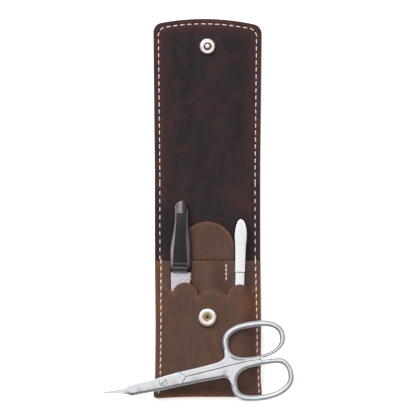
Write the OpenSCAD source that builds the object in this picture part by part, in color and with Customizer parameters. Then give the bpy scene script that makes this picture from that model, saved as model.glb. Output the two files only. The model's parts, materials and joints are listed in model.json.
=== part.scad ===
/* [Case] */
// Width of the case body
case_w = 50.6; // [49.8:0.2:53]
// Length of the closed case, from the bottom fold to the middle of the spine
case_len = 103.2; // [101:0.4:108]
// Extra width of the bottom fold on each side
foot_flare = 0.6; // [0:0.1:1]
// Thickness of the outer leather
leather_t = 1.3; // [1.1:0.1:1.5]
// Thickness of the lining
lining_t = 0.8; // [0.6:0.1:1]
// Thickness of the divider leather
divider_t = 1.0; // [0.8:0.1:1.2]

/* [Pocket] */
// Height of the mouth above the bottom fold
pocket_depth = 65.25; // [64:0.05:67]
// Height of the space inside the pocket
pocket_h = 4.7; // [4.6:0.1:5.4]
// Width of the flat stitched edge beside the pocket
flange_w = 3.6; // [3.2:0.1:3.8]
// Clear width of the raised channel for the scissors
channel_w = 12.4; // [11:0.2:12.6]
// Height of the space in the channel at the mouth
channel_mouth_h = 4.6; // [4.5:0.05:4.7]
// Middle of the channel, right of the middle of the case
channel_x = 0.55; // [0.3:0.05:0.8]
// Radius of the two arched slits
slit_r = 6.0; // [5.8:0.1:6.2]
// Top of the file slit below the mouth
file_slit_drop = 10.2; // [9.9:0.05:10.6]
// Top of the tweezers slit below the mouth
tweezers_slit_drop = 11.15; // [10.9:0.05:11.5]
// Middle of the file slit, left of the middle of the case
file_slit_x = 11.0; // [10.8:0.1:11.4]
// Middle of the tweezers slit, right of the middle of the case
tweezers_slit_x = 15.2; // [15:0.1:15.5]
// Height of the divider tab above the mouth
tab_rise = 18.75; // [16:0.05:24]
// Width of the divider tab
tab_w = 26; // [22:0.5:30]
// Middle of the divider tab, left of the middle of the case
tab_left = 0.2; // [0:0.1:0.8]

/* [Flap] */
// Length of the flap from the middle of the spine
flap_len = 78; // [74:0.5:82]
// Width of the flap near its end
flap_end_w = 51.9; // [50:0.1:53]
// Radius of the flap's corners
flap_corner_r = 4.6; // [3:0.1:7]
// Radius of the arc of the flap's end
flap_arc_r = 112; // [90:1:140]
// Highest point of the arc, left of the middle of the case
flap_arc_left = 1.7; // [0:0.1:2.4]

/* [Snap fastener] */
// Height of the snap above the bottom fold
snap_up = 38.4; // [36:0.1:39]
// Diameter of the socket
socket_d = 8.9; // [8.4:0.1:9.4]
// Height of the socket
socket_h = 2.0; // [1.9:0.05:2.2]
// Diameter of the stud's base
stud_d = 7.7; // [7.2:0.1:8.4]
// Height of the stud's base
stud_h = 1.45; // [1.4:0.05:1.6]
// Diameter of the stud's post
post_d = 2.3; // [2.1:0.1:2.4]
// Diameter of the cap on the outside of the flap
cap_d = 10; // [9:0.2:12]
// Height of the cap
cap_h = 1.4; // [1:0.1:1.6]

/* [Nail file] */
// Length of the file
file_len = 85; // [80:0.5:86]
// Length of the handle
handle_len = 34.2; // [32:0.2:36]
// Width of the handle at its widest
handle_w = 10.1; // [9.4:0.1:10.2]
// Width of the handle's neck
handle_neck_w = 6.6; // [6:0.1:7.4]
// Thickness of the handle
handle_t = 3.2; // [3:0.1:3.4]
// Width of the blade at the handle
blade_w = 9.4; // [8.6:0.1:9.6]
// Width of the blade at its end
blade_end_w = 5.2; // [4:0.1:6]
// Thickness of the blade
blade_t = 1.0; // [0.8:0.05:1.2]
// How far the handle reaches below the mouth
handle_under = 5.45; // [4.4:0.05:5.6]
// Middle of the handle's lower end, left of the middle of the case
file_left = 12.82; // [12.6:0.01:13]
// Lean of the file to the right, in degrees
file_lean = 1.1; // [0.8:0.05:1.2]

/* [Tweezers] */
// Length of the tweezers
tweezers_len = 75; // [70:0.5:76]
// Length of the tweezers below the mouth of the pocket
tweezers_deep = 55.1; // [53:0.1:57]
// Width of the tweezers at their widest
tweezers_w = 5.86; // [5.4:0.02:6.2]
// Width of an arm below the grip
arm_w = 4.4; // [4:0.1:4.8]
// Width of a tip
tip_w = 2.0; // [1.6:0.1:2.4]
// Thickness of an arm
arm_t = 0.8; // [0.7:0.05:0.9]
// Length of the welded end
weld_len = 12; // [10:0.5:14]
// Gap between the tips at rest
tip_gap = 1.0; // [0.8:0.05:1.1]
// Middle of the welded end, right of the middle of the case
tweezers_right = 16.1; // [15.9:0.05:16.3]
// Lean of the tweezers to the right, in degrees
tweezers_lean = 1.2; // [1:0.05:1.3]

/* [Scissors] */
// Length from the pivot to the points
blade_reach = 28; // [26:0.2:30]
// Width of the pair of blades
blades_w = 4.9; // [4.6:0.1:5.4]
// Thickness of the closed scissors
scissors_t = 3.0; // [2.8:0.1:3.1]
// Length of a finger hole
hole_len = 24.9; // [23:0.1:25.5]
// Width of a finger hole
hole_w = 14; // [13.2:0.1:14.4]
// Width of the bow's wire
bow_w = 2.7; // [2.4:0.1:2.9]
// Distance from the pivot to the middle of the finger holes
bow_reach = 46.4; // [45.5:0.1:47.5]
// Diameter of the screw's head
screw_d = 3.8; // [3.4:0.1:4.2]
// Direction of the scissors, in degrees from the X axis
scissors_lean = 12.5; // [11:0.5:14]
// Pivot's distance in from the left edge of the case
pivot_in = 4.25; // [3.3:0.05:5.3]
// Pivot's height above the bottom fold
pivot_up = 7.63; // [7:0.01:9]

/* [Hidden] */

$fn = 64;
fit = 0.1;            // clearance of fastener parts in their holes
lay_gap = 0.2;        // gap under a tool that lies on the leather
snap_play = 0.15;     // gap between stud and socket when the case is closed
slit_play = 0.5;      // room beside a tool at the ends of its slit

// Heights of the layers above the surface that the case lies on
z_back = leather_t;
z_lining = z_back + lining_t;
z_divider = z_lining + divider_t;
z_strip = z_divider + leather_t;
z_roof = z_divider + pocket_h;
z_front = z_roof + leather_t;
z_tools = z_strip + lay_gap;
z_scissors = z_front + fit;

// Places along the case
bottom_y = -case_len / 2;
mouth_y = bottom_y + pocket_depth;
fold_r = z_strip / 2;
fold_y = bottom_y + fold_r;
flare_y = bottom_y + 10;
socket_y = bottom_y + snap_up;
file_slit_y = mouth_y - file_slit_drop - slit_r;
slit_y = mouth_y - tweezers_slit_drop - slit_r;

// The spine is as high as the closed case is thick between its linings
snap_stack = socket_h + stud_h + snap_play;
spine_h = z_front + snap_stack - z_lining;
spine_y0 = case_len / 2 - spine_h / 2;
spine_y1 = case_len / 2 + spine_h / 2;
stud_y = case_len - socket_y;
flap_y = case_len / 2 + flap_len;

// The open flap rests on its snap cap, so it leans up a little from the fold
cap_arm = stud_y - spine_y1;
cap_drop = z_lining + cap_h;
flap_lean = atan(cap_drop / cap_arm) - asin(z_lining / norm([cap_arm, cap_drop]));

// Inside of the pocket
pocket_x = 0.2;
pocket_half = case_w / 2 - flange_w;
pocket_end = 9;
pocket_y0 = fold_y + 1;
channel_half = channel_w / 2;
edge_power = 4;
end_power = 2.2;
channel_power = 2.6;

leather_brown = [0.36, 0.27, 0.22];
lining_brown = [0.2, 0.16, 0.15];
edge_orange = [0.48, 0.31, 0.2];
silver = [0.78, 0.78, 0.8];
brass = [0.72, 0.56, 0.3];
steel = [0.72, 0.73, 0.75];
black = [0.08, 0.08, 0.09];
grit_grey = [0.75, 0.74, 0.76];

function arc(cx, cy, r, a0, a1, n = 8) =
  [for (i = [0:n]) let (a = a0 + (a1 - a0) * i / n) [cx + r * cos(a), cy + r * sin(a)]];

// Half of a superellipse, from (-half, 0) over (0, rise) to (half, 0)
function hump(half, rise, power, n = 10) =
  [for (i = [-n:n]) let (t = 90 * i / n)
    [sign(t) * half * pow(abs(sin(t)), 2 / power), rise * pow(abs(cos(t)), 2 / power)]];

// Quarter of a superellipse, from (0, 0) to (len, rise)
function ramp(len, rise, power, n = 8) =
  [for (i = [0:n]) let (t = 90 * i / n)
    [len * (1 - pow(cos(t), 2 / power)), rise * pow(sin(t), 2 / power)]];

function smooth(t) = let (c = min(1, max(0, t))) c * c * (3 - 2 * c);

// Plan of the back and the pocket, flared towards the bottom fold
module body_plan(y0, y1) {
  foot_w = case_w + 2 * foot_flare;
  polygon([[-foot_w / 2, y0], [foot_w / 2, y0], [case_w / 2, flare_y],
    [case_w / 2, y1], [-case_w / 2, y1], [-case_w / 2, flare_y]]);
}

module flap_plan() {
  arc_x = -flap_arc_left;
  arc_y = flap_y - flap_arc_r;
  corner_x = flap_end_w / 2 - flap_corner_r;
  reach = flap_arc_r - flap_corner_r;
  right_y = arc_y + sqrt(pow(reach, 2) - pow(corner_x - arc_x, 2));
  left_y = arc_y + sqrt(pow(reach, 2) - pow(corner_x + arc_x, 2));
  right = atan2(right_y - arc_y, corner_x - arc_x);
  left = atan2(left_y - arc_y, -corner_x - arc_x);
  polygon(concat(
    [[-case_w / 2, spine_y1], [case_w / 2, spine_y1]],
    arc(corner_x, right_y, flap_corner_r, 0, right),
    arc(arc_x, arc_y, flap_arc_r, right, left, 24),
    arc(-corner_x, left_y, flap_corner_r, left, 180)));
}

// Puts a flat piece of the flap at its resting lean
module lean_flap() {
  translate([0, spine_y1, z_lining])
    rotate([flap_lean, 0, 0])
      translate([0, -spine_y1, -z_lining])
        children();
}

module back_leather() {
  color(leather_brown) {
    linear_extrude(leather_t)
      body_plan(fold_y, spine_y0);
    foot_w = case_w + 2 * foot_flare;
    translate([-foot_w / 2, fold_y, fold_r])
      rotate([90, 0, 90])
        linear_extrude(foot_w)
          difference() {
            circle(r = fold_r);
            circle(r = fold_r - leather_t);
            translate([0, -2 * fold_r])
              square(4 * fold_r);
          }
  }
}

// Rounded block under the pocket's roof, from the bottom end up to y1
module mound(half, y0, base, y1) {
  intersection() {
    translate([pocket_x, y1, base])
      rotate([90, 0, 0])
        linear_extrude(y1 - y0)
          polygon(hump(half, pocket_h, edge_power));
    translate([-case_w, y0, base])
      rotate([90, 0, 90])
        linear_extrude(2 * case_w)
          polygon(concat(ramp(pocket_end, pocket_h, end_power),
            [[y1 - y0, pocket_h], [y1 - y0, 0]]));
  }
}

// Raised channel, as high as the pocket at the slits and lower at the mouth
module channel(half, base, y0, y1) {
  high_y = slit_y + 2;
  intersection() {
    translate([channel_x, y1, base])
      rotate([90, 0, 0])
        linear_extrude(y1 - y0)
          polygon(hump(half, pocket_h, channel_power));
    translate([-case_w, 0, base])
      rotate([90, 0, 90])
        linear_extrude(2 * case_w)
          polygon([[y0, 0], [y1, 0], [y1, channel_mouth_h], [high_y, pocket_h], [y0, pocket_h]]);
  }
}

module slit_plan() {
  translate([-file_slit_x, file_slit_y])
    circle(r = slit_r);
  translate([-file_slit_x - slit_r, slit_y - 1])
    square([2 * slit_r, file_slit_y - slit_y + 1]);
  translate([tweezers_slit_x, slit_y])
    circle(r = slit_r);
}

// Front below the slits, with the two tongues that hold the tools down
module pocket_lower() {
  tall = 2 * z_front;
  intersection() {
    linear_extrude(tall)
      union() {
        slit_plan();
        body_plan(fold_y, slit_y);
      }
    difference() {
      union() {
        mound(pocket_half + leather_t, pocket_y0 - leather_t, z_strip, mouth_y);
        translate([0, 0, z_divider])
          linear_extrude(leather_t)
            body_plan(fold_y, slit_y);
      }
      mound(pocket_half, pocket_y0, z_divider - fit, mouth_y);
    }
  }
}

// Leather at the ends of the slits, where the front rises from the strips
module slit_ends() {
  difference() {
    intersection() {
      mound(pocket_half + leather_t / 2, pocket_y0, z_divider, mouth_y);
      translate([-case_w / 2, slit_y - leather_t, z_divider])
        cube([case_w, leather_t, pocket_h + leather_t / 2]);
    }
    for (x = [-file_slit_x, tweezers_slit_x])
      translate([x - slit_r - slit_play, slit_y - 2 * leather_t, 0])
        cube([2 * (slit_r + slit_play), 3 * leather_t, z_roof]);
    channel(channel_half, z_divider - fit, slit_y - 2 * leather_t, mouth_y);
  }
}

// Flat strips above the slits and the raised channel between the short seams
module pocket_upper() {
  difference() {
    union() {
      translate([0, 0, z_divider])
        linear_extrude(leather_t)
          difference() {
            translate([-case_w / 2, slit_y])
              square([case_w, mouth_y - slit_y]);
            slit_plan();
          }
      channel(channel_half + leather_t, z_strip, slit_y, mouth_y);
    }
    channel(channel_half, z_divider - fit, slit_y - fit, mouth_y + fit);
  }
}

module pocket_front() {
  color(leather_brown)
    difference() {
      union() {
        pocket_lower();
        slit_ends();
        pocket_upper();
      }
      translate([0, socket_y, z_divider])
        cylinder(r = eyelet_r + fit, h = 2 * pocket_h);
      translate([0, socket_y, z_divider])
        cylinder(r = eyelet_flange_r + fit, h = pocket_h + eyelet_flange_t);
    }
}

module spine_leather() {
  color(leather_brown)
    translate([-case_w / 2, spine_y0, 0])
      cube([case_w, spine_h, leather_t]);
}

module flap_leather() {
  color(leather_brown)
    lean_flap()
      difference() {
        linear_extrude(leather_t)
          flap_plan();
        translate([0, stud_y, -leather_t])
          cylinder(r = shank_r + fit, h = 3 * leather_t);
      }
}

module back_lining() {
  color(lining_brown)
    translate([0, 0, z_back])
      linear_extrude(lining_t)
        body_plan(fold_y, spine_y0);
}

module spine_lining() {
  color(lining_brown)
    translate([-case_w / 2, spine_y0, z_back])
      cube([case_w, spine_h, lining_t]);
}

module flap_lining() {
  color(lining_brown)
    lean_flap()
      translate([0, 0, z_back])
        difference() {
          linear_extrude(lining_t)
            flap_plan();
          translate([0, stud_y, -lining_t])
            cylinder(r = shank_r + fit, h = 3 * lining_t);
        }
}

module divider_tab() {
  shoulder = 0.8;
  arch_y = tab_rise + 2 * shoulder - tab_w / 2;
  color(edge_orange)
    translate([0, 0, z_lining])
      linear_extrude(divider_t)
        union() {
          body_plan(fold_y, mouth_y - shoulder);
          translate([-tab_left, mouth_y - 2 * shoulder])
            polygon(concat([[-tab_w / 2, 0], [tab_w / 2, 0]],
              arc(0, arch_y, tab_w / 2, 0, 180, 24)));
        }
}

// Snap fastener
shank_r = 1.2;
eyelet_r = 1.5;
eyelet_flange_r = socket_d / 2 - 0.25;
eyelet_flange_t = 0.5;
socket_bore_r = 2.05;
spring_r = post_d / 2 + fit;

module snap_cap() {
  rim = 0.35;
  dome_h = cap_h - rim;
  dome_r = (pow(cap_d / 2, 2) + pow(dome_h, 2)) / (2 * dome_h);
  half_turn = asin(cap_d / 2 / dome_r);
  color(silver)
    lean_flap()
      translate([0, stud_y, 0])
        rotate_extrude()
          polygon(concat(
            [[0, z_lining], [shank_r, z_lining], [shank_r, 0], [cap_d / 2, 0]],
            [for (i = [0:8]) let (a = half_turn * (1 - i / 8))
              [dome_r * sin(a), -rim - dome_h + dome_r * (1 - cos(a))]]));
}

module snap_stud() {
  rim = stud_d / 2;
  well_r = post_d / 2 + 0.5;
  neck_r = post_d / 2 - 0.2;
  post_h = socket_h - 0.8;
  color(silver)
    lean_flap()
      translate([0, stud_y, z_lining])
        rotate_extrude()
          polygon([[0, 0], [rim - 0.45, 0], [rim, 0.35], [rim, 0.8],
            [rim - 0.35, stud_h - 0.25], [rim - 0.95, stud_h], [rim - 1.65, stud_h],
            [well_r, stud_h - 0.35], [well_r, 0.6], [neck_r, 0.6],
            [neck_r, stud_h + post_h - 0.75], [post_d / 2, stud_h + post_h - 0.45],
            [neck_r, stud_h + post_h], [0, stud_h + post_h]]);
}

module snap_socket() {
  rim = socket_d / 2;
  groove_r = socket_bore_r + 0.55;
  color(silver)
    translate([0, socket_y, z_front])
      rotate_extrude()
        polygon([[eyelet_r + fit, 0], [rim - 0.45, 0], [rim, 0.5], [rim, socket_h - 0.8],
          [rim - 0.55, socket_h - 0.15], [rim - 1.15, socket_h],
          [socket_bore_r, socket_h], [socket_bore_r, socket_h - 0.5],
          [groove_r, socket_h - 0.5], [groove_r, socket_h - 1.1],
          [socket_bore_r, socket_h - 1.1], [socket_bore_r, 0.45], [eyelet_r + fit, 0.45]]);
}

module snap_spring() {
  outer_r = socket_bore_r + 0.5;
  mouth_r = socket_bore_r - 0.05;
  color(brass)
    translate([0, socket_y, z_front + socket_h - 1.1])
      rotate_extrude()
        polygon([[spring_r, 0.02], [outer_r, 0.02], [outer_r, 0.55], [mouth_r, 0.55],
          [mouth_r, 0.9], [spring_r, 0.35]]);
}

module snap_eyelet() {
  tube_r = 0.8;
  curl_z = socket_h - 1.2;
  color(brass)
    translate([0, socket_y, z_front])
      rotate_extrude()
        polygon([[tube_r, -leather_t], [eyelet_flange_r, -leather_t],
          [eyelet_flange_r, eyelet_flange_t - leather_t],
          [eyelet_r, eyelet_flange_t - leather_t], [eyelet_r, 0.5],
          [eyelet_r + 0.4, 0.5], [eyelet_r + 0.3, curl_z], [tube_r, curl_z]]);
}

// Nail file. Its own frame has Y along the tool, from the handle's lower end
module at_file() {
  translate([-file_left, mouth_y - handle_under, z_tools])
    rotate([0, 0, -file_lean])
      children();
}

handle_round = 3.5;
function handle_half(s) =
  let (wide = handle_w / 2,
    neck = handle_neck_w / 2,
    body = wide + (neck - wide) * smooth((s - 9.5) / 17),
    past = max(0, s - (handle_len - handle_round)) / handle_round)
  body * sqrt(max(0.02, 1 - past * past));
function handle_thick(s) = handle_t - (handle_t - 1.5) * smooth((s - 20) / (handle_len - 20));
function handle_bevel(s) = handle_half(s) - 3.45 + 0.95 * smooth((s - 4) / 20);

// One section of the handle, an octagon with a flat base and bevelled shoulders
function handle_section(s) =
  let (w = handle_half(s), t = handle_thick(s), b = min(handle_bevel(s), 0.6 * w), k = min(0.5, 0.3 * w))
  [for (p = [[-w + k, 0], [w - k, 0], [w, k], [w, 0.45 * t], [w - b, t], [-w + b, t],
    [-w, 0.45 * t], [-w, k]]) [p[0], s, p[1]]];

module handle_solid() {
  stations = concat([0, 5], [for (i = [0:6]) 8 + 2.4 * i], [25, 28],
    [for (i = [0:8]) handle_len - handle_round * cos(90 * i / 8)]);
  count = len(stations);
  points = [for (s = stations) each handle_section(s)];
  sides = [for (i = [0:count - 2]) for (j = [0:7])
    let (a = i * 8 + j, b = i * 8 + (j + 1) % 8)
    each [[a, a + 8, b], [b, a + 8, b + 8]]];
  caps = concat([for (j = [1:6]) [0, j, j + 1]],
    [for (j = [1:6]) let (e = (count - 1) * 8) [e, e + j + 1, e + j]]);
  polyhedron(points, concat(sides, caps));
}

tang_len = 16;
module file_handle() {
  groove = 0.4;
  scoop_r = 3.1;
  scoop_len = 5.9;
  color(black)
    at_file()
      difference() {
        handle_solid();
        for (s = [1.2, 3.5])
          translate([-handle_w, s - groove / 2, handle_t - groove])
            cube([2 * handle_w, groove, handle_t]);
        translate([0, handle_len + 1, scoop_r + 0.75])
          rotate([90, 0, 0])
            cylinder(r = scoop_r, h = scoop_len + 1);
        translate([-blade_w / 2 + 1.5, -1, (handle_t - blade_t) / 2 - 0.02])
          cube([blade_w - 3, tang_len + 1.02, blade_t + 0.04]);
      }
}

module file_blade() {
  reach = file_len - handle_len;
  tip = blade_end_w / 2;
  color(grit_grey)
    at_file()
      translate([0, 0, (handle_t - blade_t) / 2])
        linear_extrude(blade_t)
          polygon(concat(
            [[-blade_w / 2, -0.02], [-blade_w / 2 + 1.5, -0.02], [-blade_w / 2 + 1.5, tang_len],
              [blade_w / 2 - 1.5, tang_len], [blade_w / 2 - 1.5, -0.02], [blade_w / 2, -0.02]],
            arc(0, tip - reach, tip, 0, -180, 16)));
}

// Tweezers. Their own frame has Y along the tool, from the welded end, and Z from
// the plane where the arms meet
module at_tweezers() {
  end_y = mouth_y + tweezers_len - tweezers_deep;
  translate([tweezers_right, end_y, z_tools + arm_t])
    rotate([0, 0, -tweezers_lean])
      children();
}

head_len = 8;
grip_len = 25;
flex_gap = 0.05;
grip_w = tweezers_w - 1.0;
arm_shift = 1.8;
shift_start = 18;
spread = atan(tip_gap / (tweezers_len - weld_len));

// Plan of an arm between two distances from the welded end
function arm_half(s) =
  s < head_len ? tweezers_w / 2 * sqrt(max(0, 1 - pow((head_len - s) / head_len, 2))) :
  s < grip_len ? tweezers_w / 2 + (grip_w - tweezers_w) / 2 * (s - head_len) / (grip_len - head_len) :
  arm_w / 2 + (tip_w - arm_w) / 2 * max(0, s - 35) / (tweezers_len - 35);
function arm_stations(s0, s1) =
  [for (s = [0, 0.15, 0.5, 1.2, 2.2, 3.6, 5.4, head_len, weld_len, weld_len + flex_gap, shift_start, 21.5,
    grip_len - 0.01, grip_len, 30, 35, 41, 48, 55, 62, 69, tweezers_len]) if (s >= s0 && s <= s1) s];
// The rear arm lies a little to the left of the front arm between the grip and the tips
function bow(s, shift) =
  s < shift_start ? 0 : -shift * sin(180 * (s - shift_start) / (tweezers_len - shift_start));

module arm_plan(s0, s1, shift) {
  down = arm_stations(s0, s1);
  up = [for (i = [len(down) - 1:-1:0]) down[i]];
  polygon(concat([for (s = down) [arm_half(s) + bow(s, shift), -s]],
    [for (s = up) if (s > 0) [-arm_half(s) + bow(s, shift), -s]]));
}

module tweezers_rear_arm() {
  color(silver)
    at_tweezers()
      translate([0, 0, -arm_t])
        linear_extrude(arm_t)
          arm_plan(0, tweezers_len, arm_shift);
}

module tweezers_weld() {
  color(silver)
    at_tweezers()
      linear_extrude(arm_t)
        arm_plan(0, weld_len, 0);
}

module tweezers_front_arm() {
  groove = 0.4;
  color(silver)
    at_tweezers()
      translate([0, -weld_len, 0])
        rotate([-spread, 0, 0])
          difference() {
            translate([0, weld_len, 0])
              linear_extrude(arm_t)
                arm_plan(weld_len + flex_gap, tweezers_len, 0);
            translate([-tweezers_w, weld_len - grip_len - groove, arm_t - 0.25])
              cube([2 * tweezers_w, groove, arm_t]);
          }
}

// Scissors. Their own frame has X from the pivot to the bows, along the seam
// between the shanks, and Z up from the leather
module at_scissors() {
  translate([pivot_in - case_w / 2, bottom_y + pivot_up, z_scissors])
    rotate([0, 0, scissors_lean])
      children();
}

joint_gap = 0.05;
pin_r = 1.15;
bow_power = 2.6;
bow_slim_power = 2.1; // for the quarter of a bow that points away from the seam's end
bow_off = 9.52;       // distance of the finger holes' middle from the pivot's axis
bow_low = 0.14;       // the bow's wire is this much lower than the shank
shoulder_x = -16.4;
tip_y = 0.8;
seam_half = 0.12;
box_x = 11.1;
box_y = 0.25;
box_root = 2;
box_slope = 0.9;      // the box joint's slanted line runs this far along X for each mm across
top_lean = -3.5;
under_lean = -3;

// Outer side of the bows nearest the pivot
bow_x = bow_reach - hole_len / 2 - bow_w;

// The seam between the shanks, from the box joint to where the bows part
seam = [[box_x, box_y], [24, 0.45], [bow_x + 2.8, 0.9], [bow_x + 10.8, 1.0], [bow_x + 15.8, 0.75],
  [bow_x + 20.8, 0.1], [bow_x + 25, -0.6]];

// A point of the box joint's slanted line, at a distance y from the seam and a gap beside it
function box_line(y, gap) = [box_x + gap - box_slope * abs(y), box_y + y];

// Plan of one half's blade and its side of the box joint. side is 1 for the half whose
// bow is on the +Y side: its blade has its back on the -Y side
module blade_plan(side) {
  half = blades_w / 2;
  inset = 0.22;
  over = half - 0.7 - (side > 0 ? inset : 0);
  under = -half - 0.6 + (side < 0 ? inset : 0);
  root_x = box_x + box_root;
  blade = [[0, over + 0.75], [-8, over + 0.2], [shoulder_x, over], [shoulder_x - 1.5, over - 0.6],
    [shoulder_x - 3.4, over - 1.15], [-blade_reach, tip_y + 0.12], [-blade_reach, tip_y - 0.12],
    [shoulder_x - 1.5, under + 1.15], [shoulder_x - 0.7, under + 0.45], [shoulder_x + 0.2, under],
    [-5, under - 0.45], [0, under - 0.6]];
  if (side > 0)
    polygon(concat(blade, [box_line(-3.8, -seam_half), box_line(0, -seam_half),
      [root_x, box_y + seam_half], [root_x, 2.9]]));
  else
    polygon(concat(blade, [[root_x, -3.4], [root_x, box_y - seam_half],
      box_line(0, -seam_half), box_line(2.8, -seam_half)]));
}

// The flat inner faces meet, and the outer faces slope towards the points. up is 1 for
// the top half's layer and -1 for the under half's
module blade_side(up) {
  inner = joint_gap / 2;
  outer = scissors_t / 2;
  profile = [[-blade_reach - 1, inner + 0.6], [-4, outer], [box_x + box_root, outer],
    [box_x + box_root, inner], [-blade_reach - 1, inner]];
  translate([0, 0, scissors_t / 2])
    rotate([90, 0, 0])
      linear_extrude(4 * blades_w, center = true)
        polygon([for (p = profile) [p[0], up * p[1]]]);
}

// Outer edge of a shank, from the box joint to the fillet that runs into the bow, and
// back along the middle of the bow's wire
shank_top = [[bow_x + 8.5, 1.6], [bow_x + 4.8, 2.7], [bow_x + 3.1, 3.9], [bow_x + 1.9, 5.7], [bow_x + 1.3, 8.6],
  [bow_x + 0.4, 8.6], [bow_x + 0.22, 7.4], [bow_x + 0.05, 5.9], [bow_x - 0.5, 4.9], [bow_x - 1.4, 4.25],
  [bow_x - 3, 3.72], [bow_x - 4.7, 3.48], [bow_x - 6.7, 3.33], [bow_x - 14.6, 3.1]];
shank_under = [[bow_x + 18, -1.2], [bow_x + 8.5, -1.5], [bow_x + 4.8, -2.8], [bow_x + 3.1, -4.1],
  [bow_x + 1.9, -5.9], [bow_x + 1.3, -8.8], [bow_x + 0.4, -8.8], [bow_x + 0.22, -7.6], [bow_x - 0.15, -6.2],
  [bow_x - 0.7, -5.2], [bow_x - 1.6, -4.5], [bow_x - 3, -4.15], [bow_x - 5.3, -4.08], [bow_x - 8.4, -4.02],
  [bow_x - 16.1, -3.74]];

module shank_plan(side) {
  along = [for (p = seam) if (p[0] < bow_x + 19) [p[0], p[1] + side * seam_half]];
  tail = side > 0 ? shank_top : shank_under;
  root = box_line(side > 0 ? 2.75 : -3.9, seam_half);
  polygon(concat(along, tail, [root]));
}

function slim(t) = cos(t) > 0 && sin(t) < 0;
function bow_point(t, grow) =
  let (a = hole_len / 2 + grow, b = hole_w / 2 + grow, power = slim(t) ? bow_slim_power : bow_power)
  [sign(cos(t)) * a * pow(abs(cos(t)), 2 / power), sign(sin(t)) * b * pow(abs(sin(t)), 2 / power)];

// The bow, an oval wire swept round the finger hole. The upper bow's wire is slimmer
// beside the seam, where it is ground flat
module bow(side, lean, high) {
  steps = 44;
  ring = 12;
  slimmer = side > 0 ? 1.4 : 0;
  wire = [for (i = [0:steps - 1]) bow_w - slimmer * max(0, -sin(360 * (i + 0.5) / steps))];
  path = [for (i = [0:steps - 1]) bow_point(360 * (i + 0.5) / steps, wire[i] / 2)];
  points = [for (i = [0:steps - 1])
    let (d = path[(i + 1) % steps] - path[(i + steps - 1) % steps], n = [d[1], -d[0]] / norm(d))
    for (j = [0:ring - 1])
      let (q = 360 * j / ring)
      [path[i][0] + n[0] * wire[i] / 2 * cos(q), path[i][1] + n[1] * wire[i] / 2 * cos(q),
        high / 2 * sin(q)]];
  faces = [for (i = [0:steps - 1]) for (j = [0:ring - 1])
    let (a = i * ring + j, b = i * ring + (j + 1) % ring,
      c = ((i + 1) % steps) * ring + j, d = ((i + 1) % steps) * ring + (j + 1) % ring)
    each [[a, b, c], [b, d, c]]];
  translate([bow_reach, side * bow_off - 0.1, scissors_t / 2])
    rotate([0, 0, lean])
      polyhedron(points, faces);
}

module scissors_half(side, up, lean, bore_r) {
  difference() {
    union() {
      intersection() {
        blade_side(up);
        linear_extrude(scissors_t)
          blade_plan(side);
      }
      linear_extrude(scissors_t)
        shank_plan(side);
      bow(side, lean, scissors_t - bow_low);
    }
    translate([0, 0, -1])
      cylinder(r = bore_r, h = scissors_t + 2);
  }
}

module scissors_top_half() {
  color(steel)
    at_scissors()
      scissors_half(1, 1, top_lean, pin_r);
}

module scissors_under_half() {
  color(steel)
    at_scissors()
      scissors_half(-1, -1, under_lean, pin_r + 0.05);
}

module scissors_screw() {
  head_h = 0.35;
  slot = 0.5;
  color(silver)
    at_scissors()
      difference() {
        union() {
          cylinder(r = pin_r, h = scissors_t);
          translate([0, 0, scissors_t])
            cylinder(r1 = screw_d / 2, r2 = screw_d / 2 - 0.3, h = head_h);
        }
        rotate([0, 0, 30])
          translate([-screw_d, -slot / 2, scissors_t + 0.1])
            cube([2 * screw_d, slot, head_h]);
      }
}

back_leather();
pocket_front();
spine_leather();
flap_leather();
back_lining();
spine_lining();
flap_lining();
divider_tab();
snap_cap();
snap_stud();
snap_socket();
snap_spring();
snap_eyelet();
file_handle();
file_blade();
tweezers_rear_arm();
tweezers_weld();
tweezers_front_arm();
scissors_top_half();
scissors_under_half();
scissors_screw();
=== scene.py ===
# %% [markdown]
# A leather pocket case for manicure tools lies open on its back. One strip of
# brown pull-up leather makes the flap, the back and the pocket, and a dark
# lining covers its inside. This lesson dresses the measured parts of the case:
# each cell makes one piece or one finish, and a made piece hides the measured parts that it replaces.

# %% The frame that everything is built around
import json
import math
from contextlib import contextmanager

import bmesh
import bpy
import numpy as np
from mathutils import Matrix, Vector, geometry, kdtree


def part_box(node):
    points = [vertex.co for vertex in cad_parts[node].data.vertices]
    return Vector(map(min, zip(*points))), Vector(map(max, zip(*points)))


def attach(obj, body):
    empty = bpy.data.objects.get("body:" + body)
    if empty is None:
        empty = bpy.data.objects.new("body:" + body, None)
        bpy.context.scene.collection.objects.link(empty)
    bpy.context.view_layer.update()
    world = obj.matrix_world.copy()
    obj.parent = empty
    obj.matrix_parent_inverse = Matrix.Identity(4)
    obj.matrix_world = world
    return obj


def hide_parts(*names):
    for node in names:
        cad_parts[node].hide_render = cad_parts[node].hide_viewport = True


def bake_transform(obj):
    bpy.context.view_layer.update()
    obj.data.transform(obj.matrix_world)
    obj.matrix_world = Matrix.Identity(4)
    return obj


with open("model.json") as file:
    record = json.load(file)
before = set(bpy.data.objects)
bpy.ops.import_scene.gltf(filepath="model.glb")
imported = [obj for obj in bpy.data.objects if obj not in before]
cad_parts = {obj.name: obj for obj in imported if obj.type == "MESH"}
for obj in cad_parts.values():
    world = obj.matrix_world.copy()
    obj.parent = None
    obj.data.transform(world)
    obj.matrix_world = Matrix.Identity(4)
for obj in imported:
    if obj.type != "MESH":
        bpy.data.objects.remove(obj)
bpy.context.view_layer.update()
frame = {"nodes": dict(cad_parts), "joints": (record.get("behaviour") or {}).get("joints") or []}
MM = 0.001


def box_mm(node):
    """Lowest and highest corner of a measured part, in millimetres."""
    return [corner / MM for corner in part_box(node)]


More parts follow.
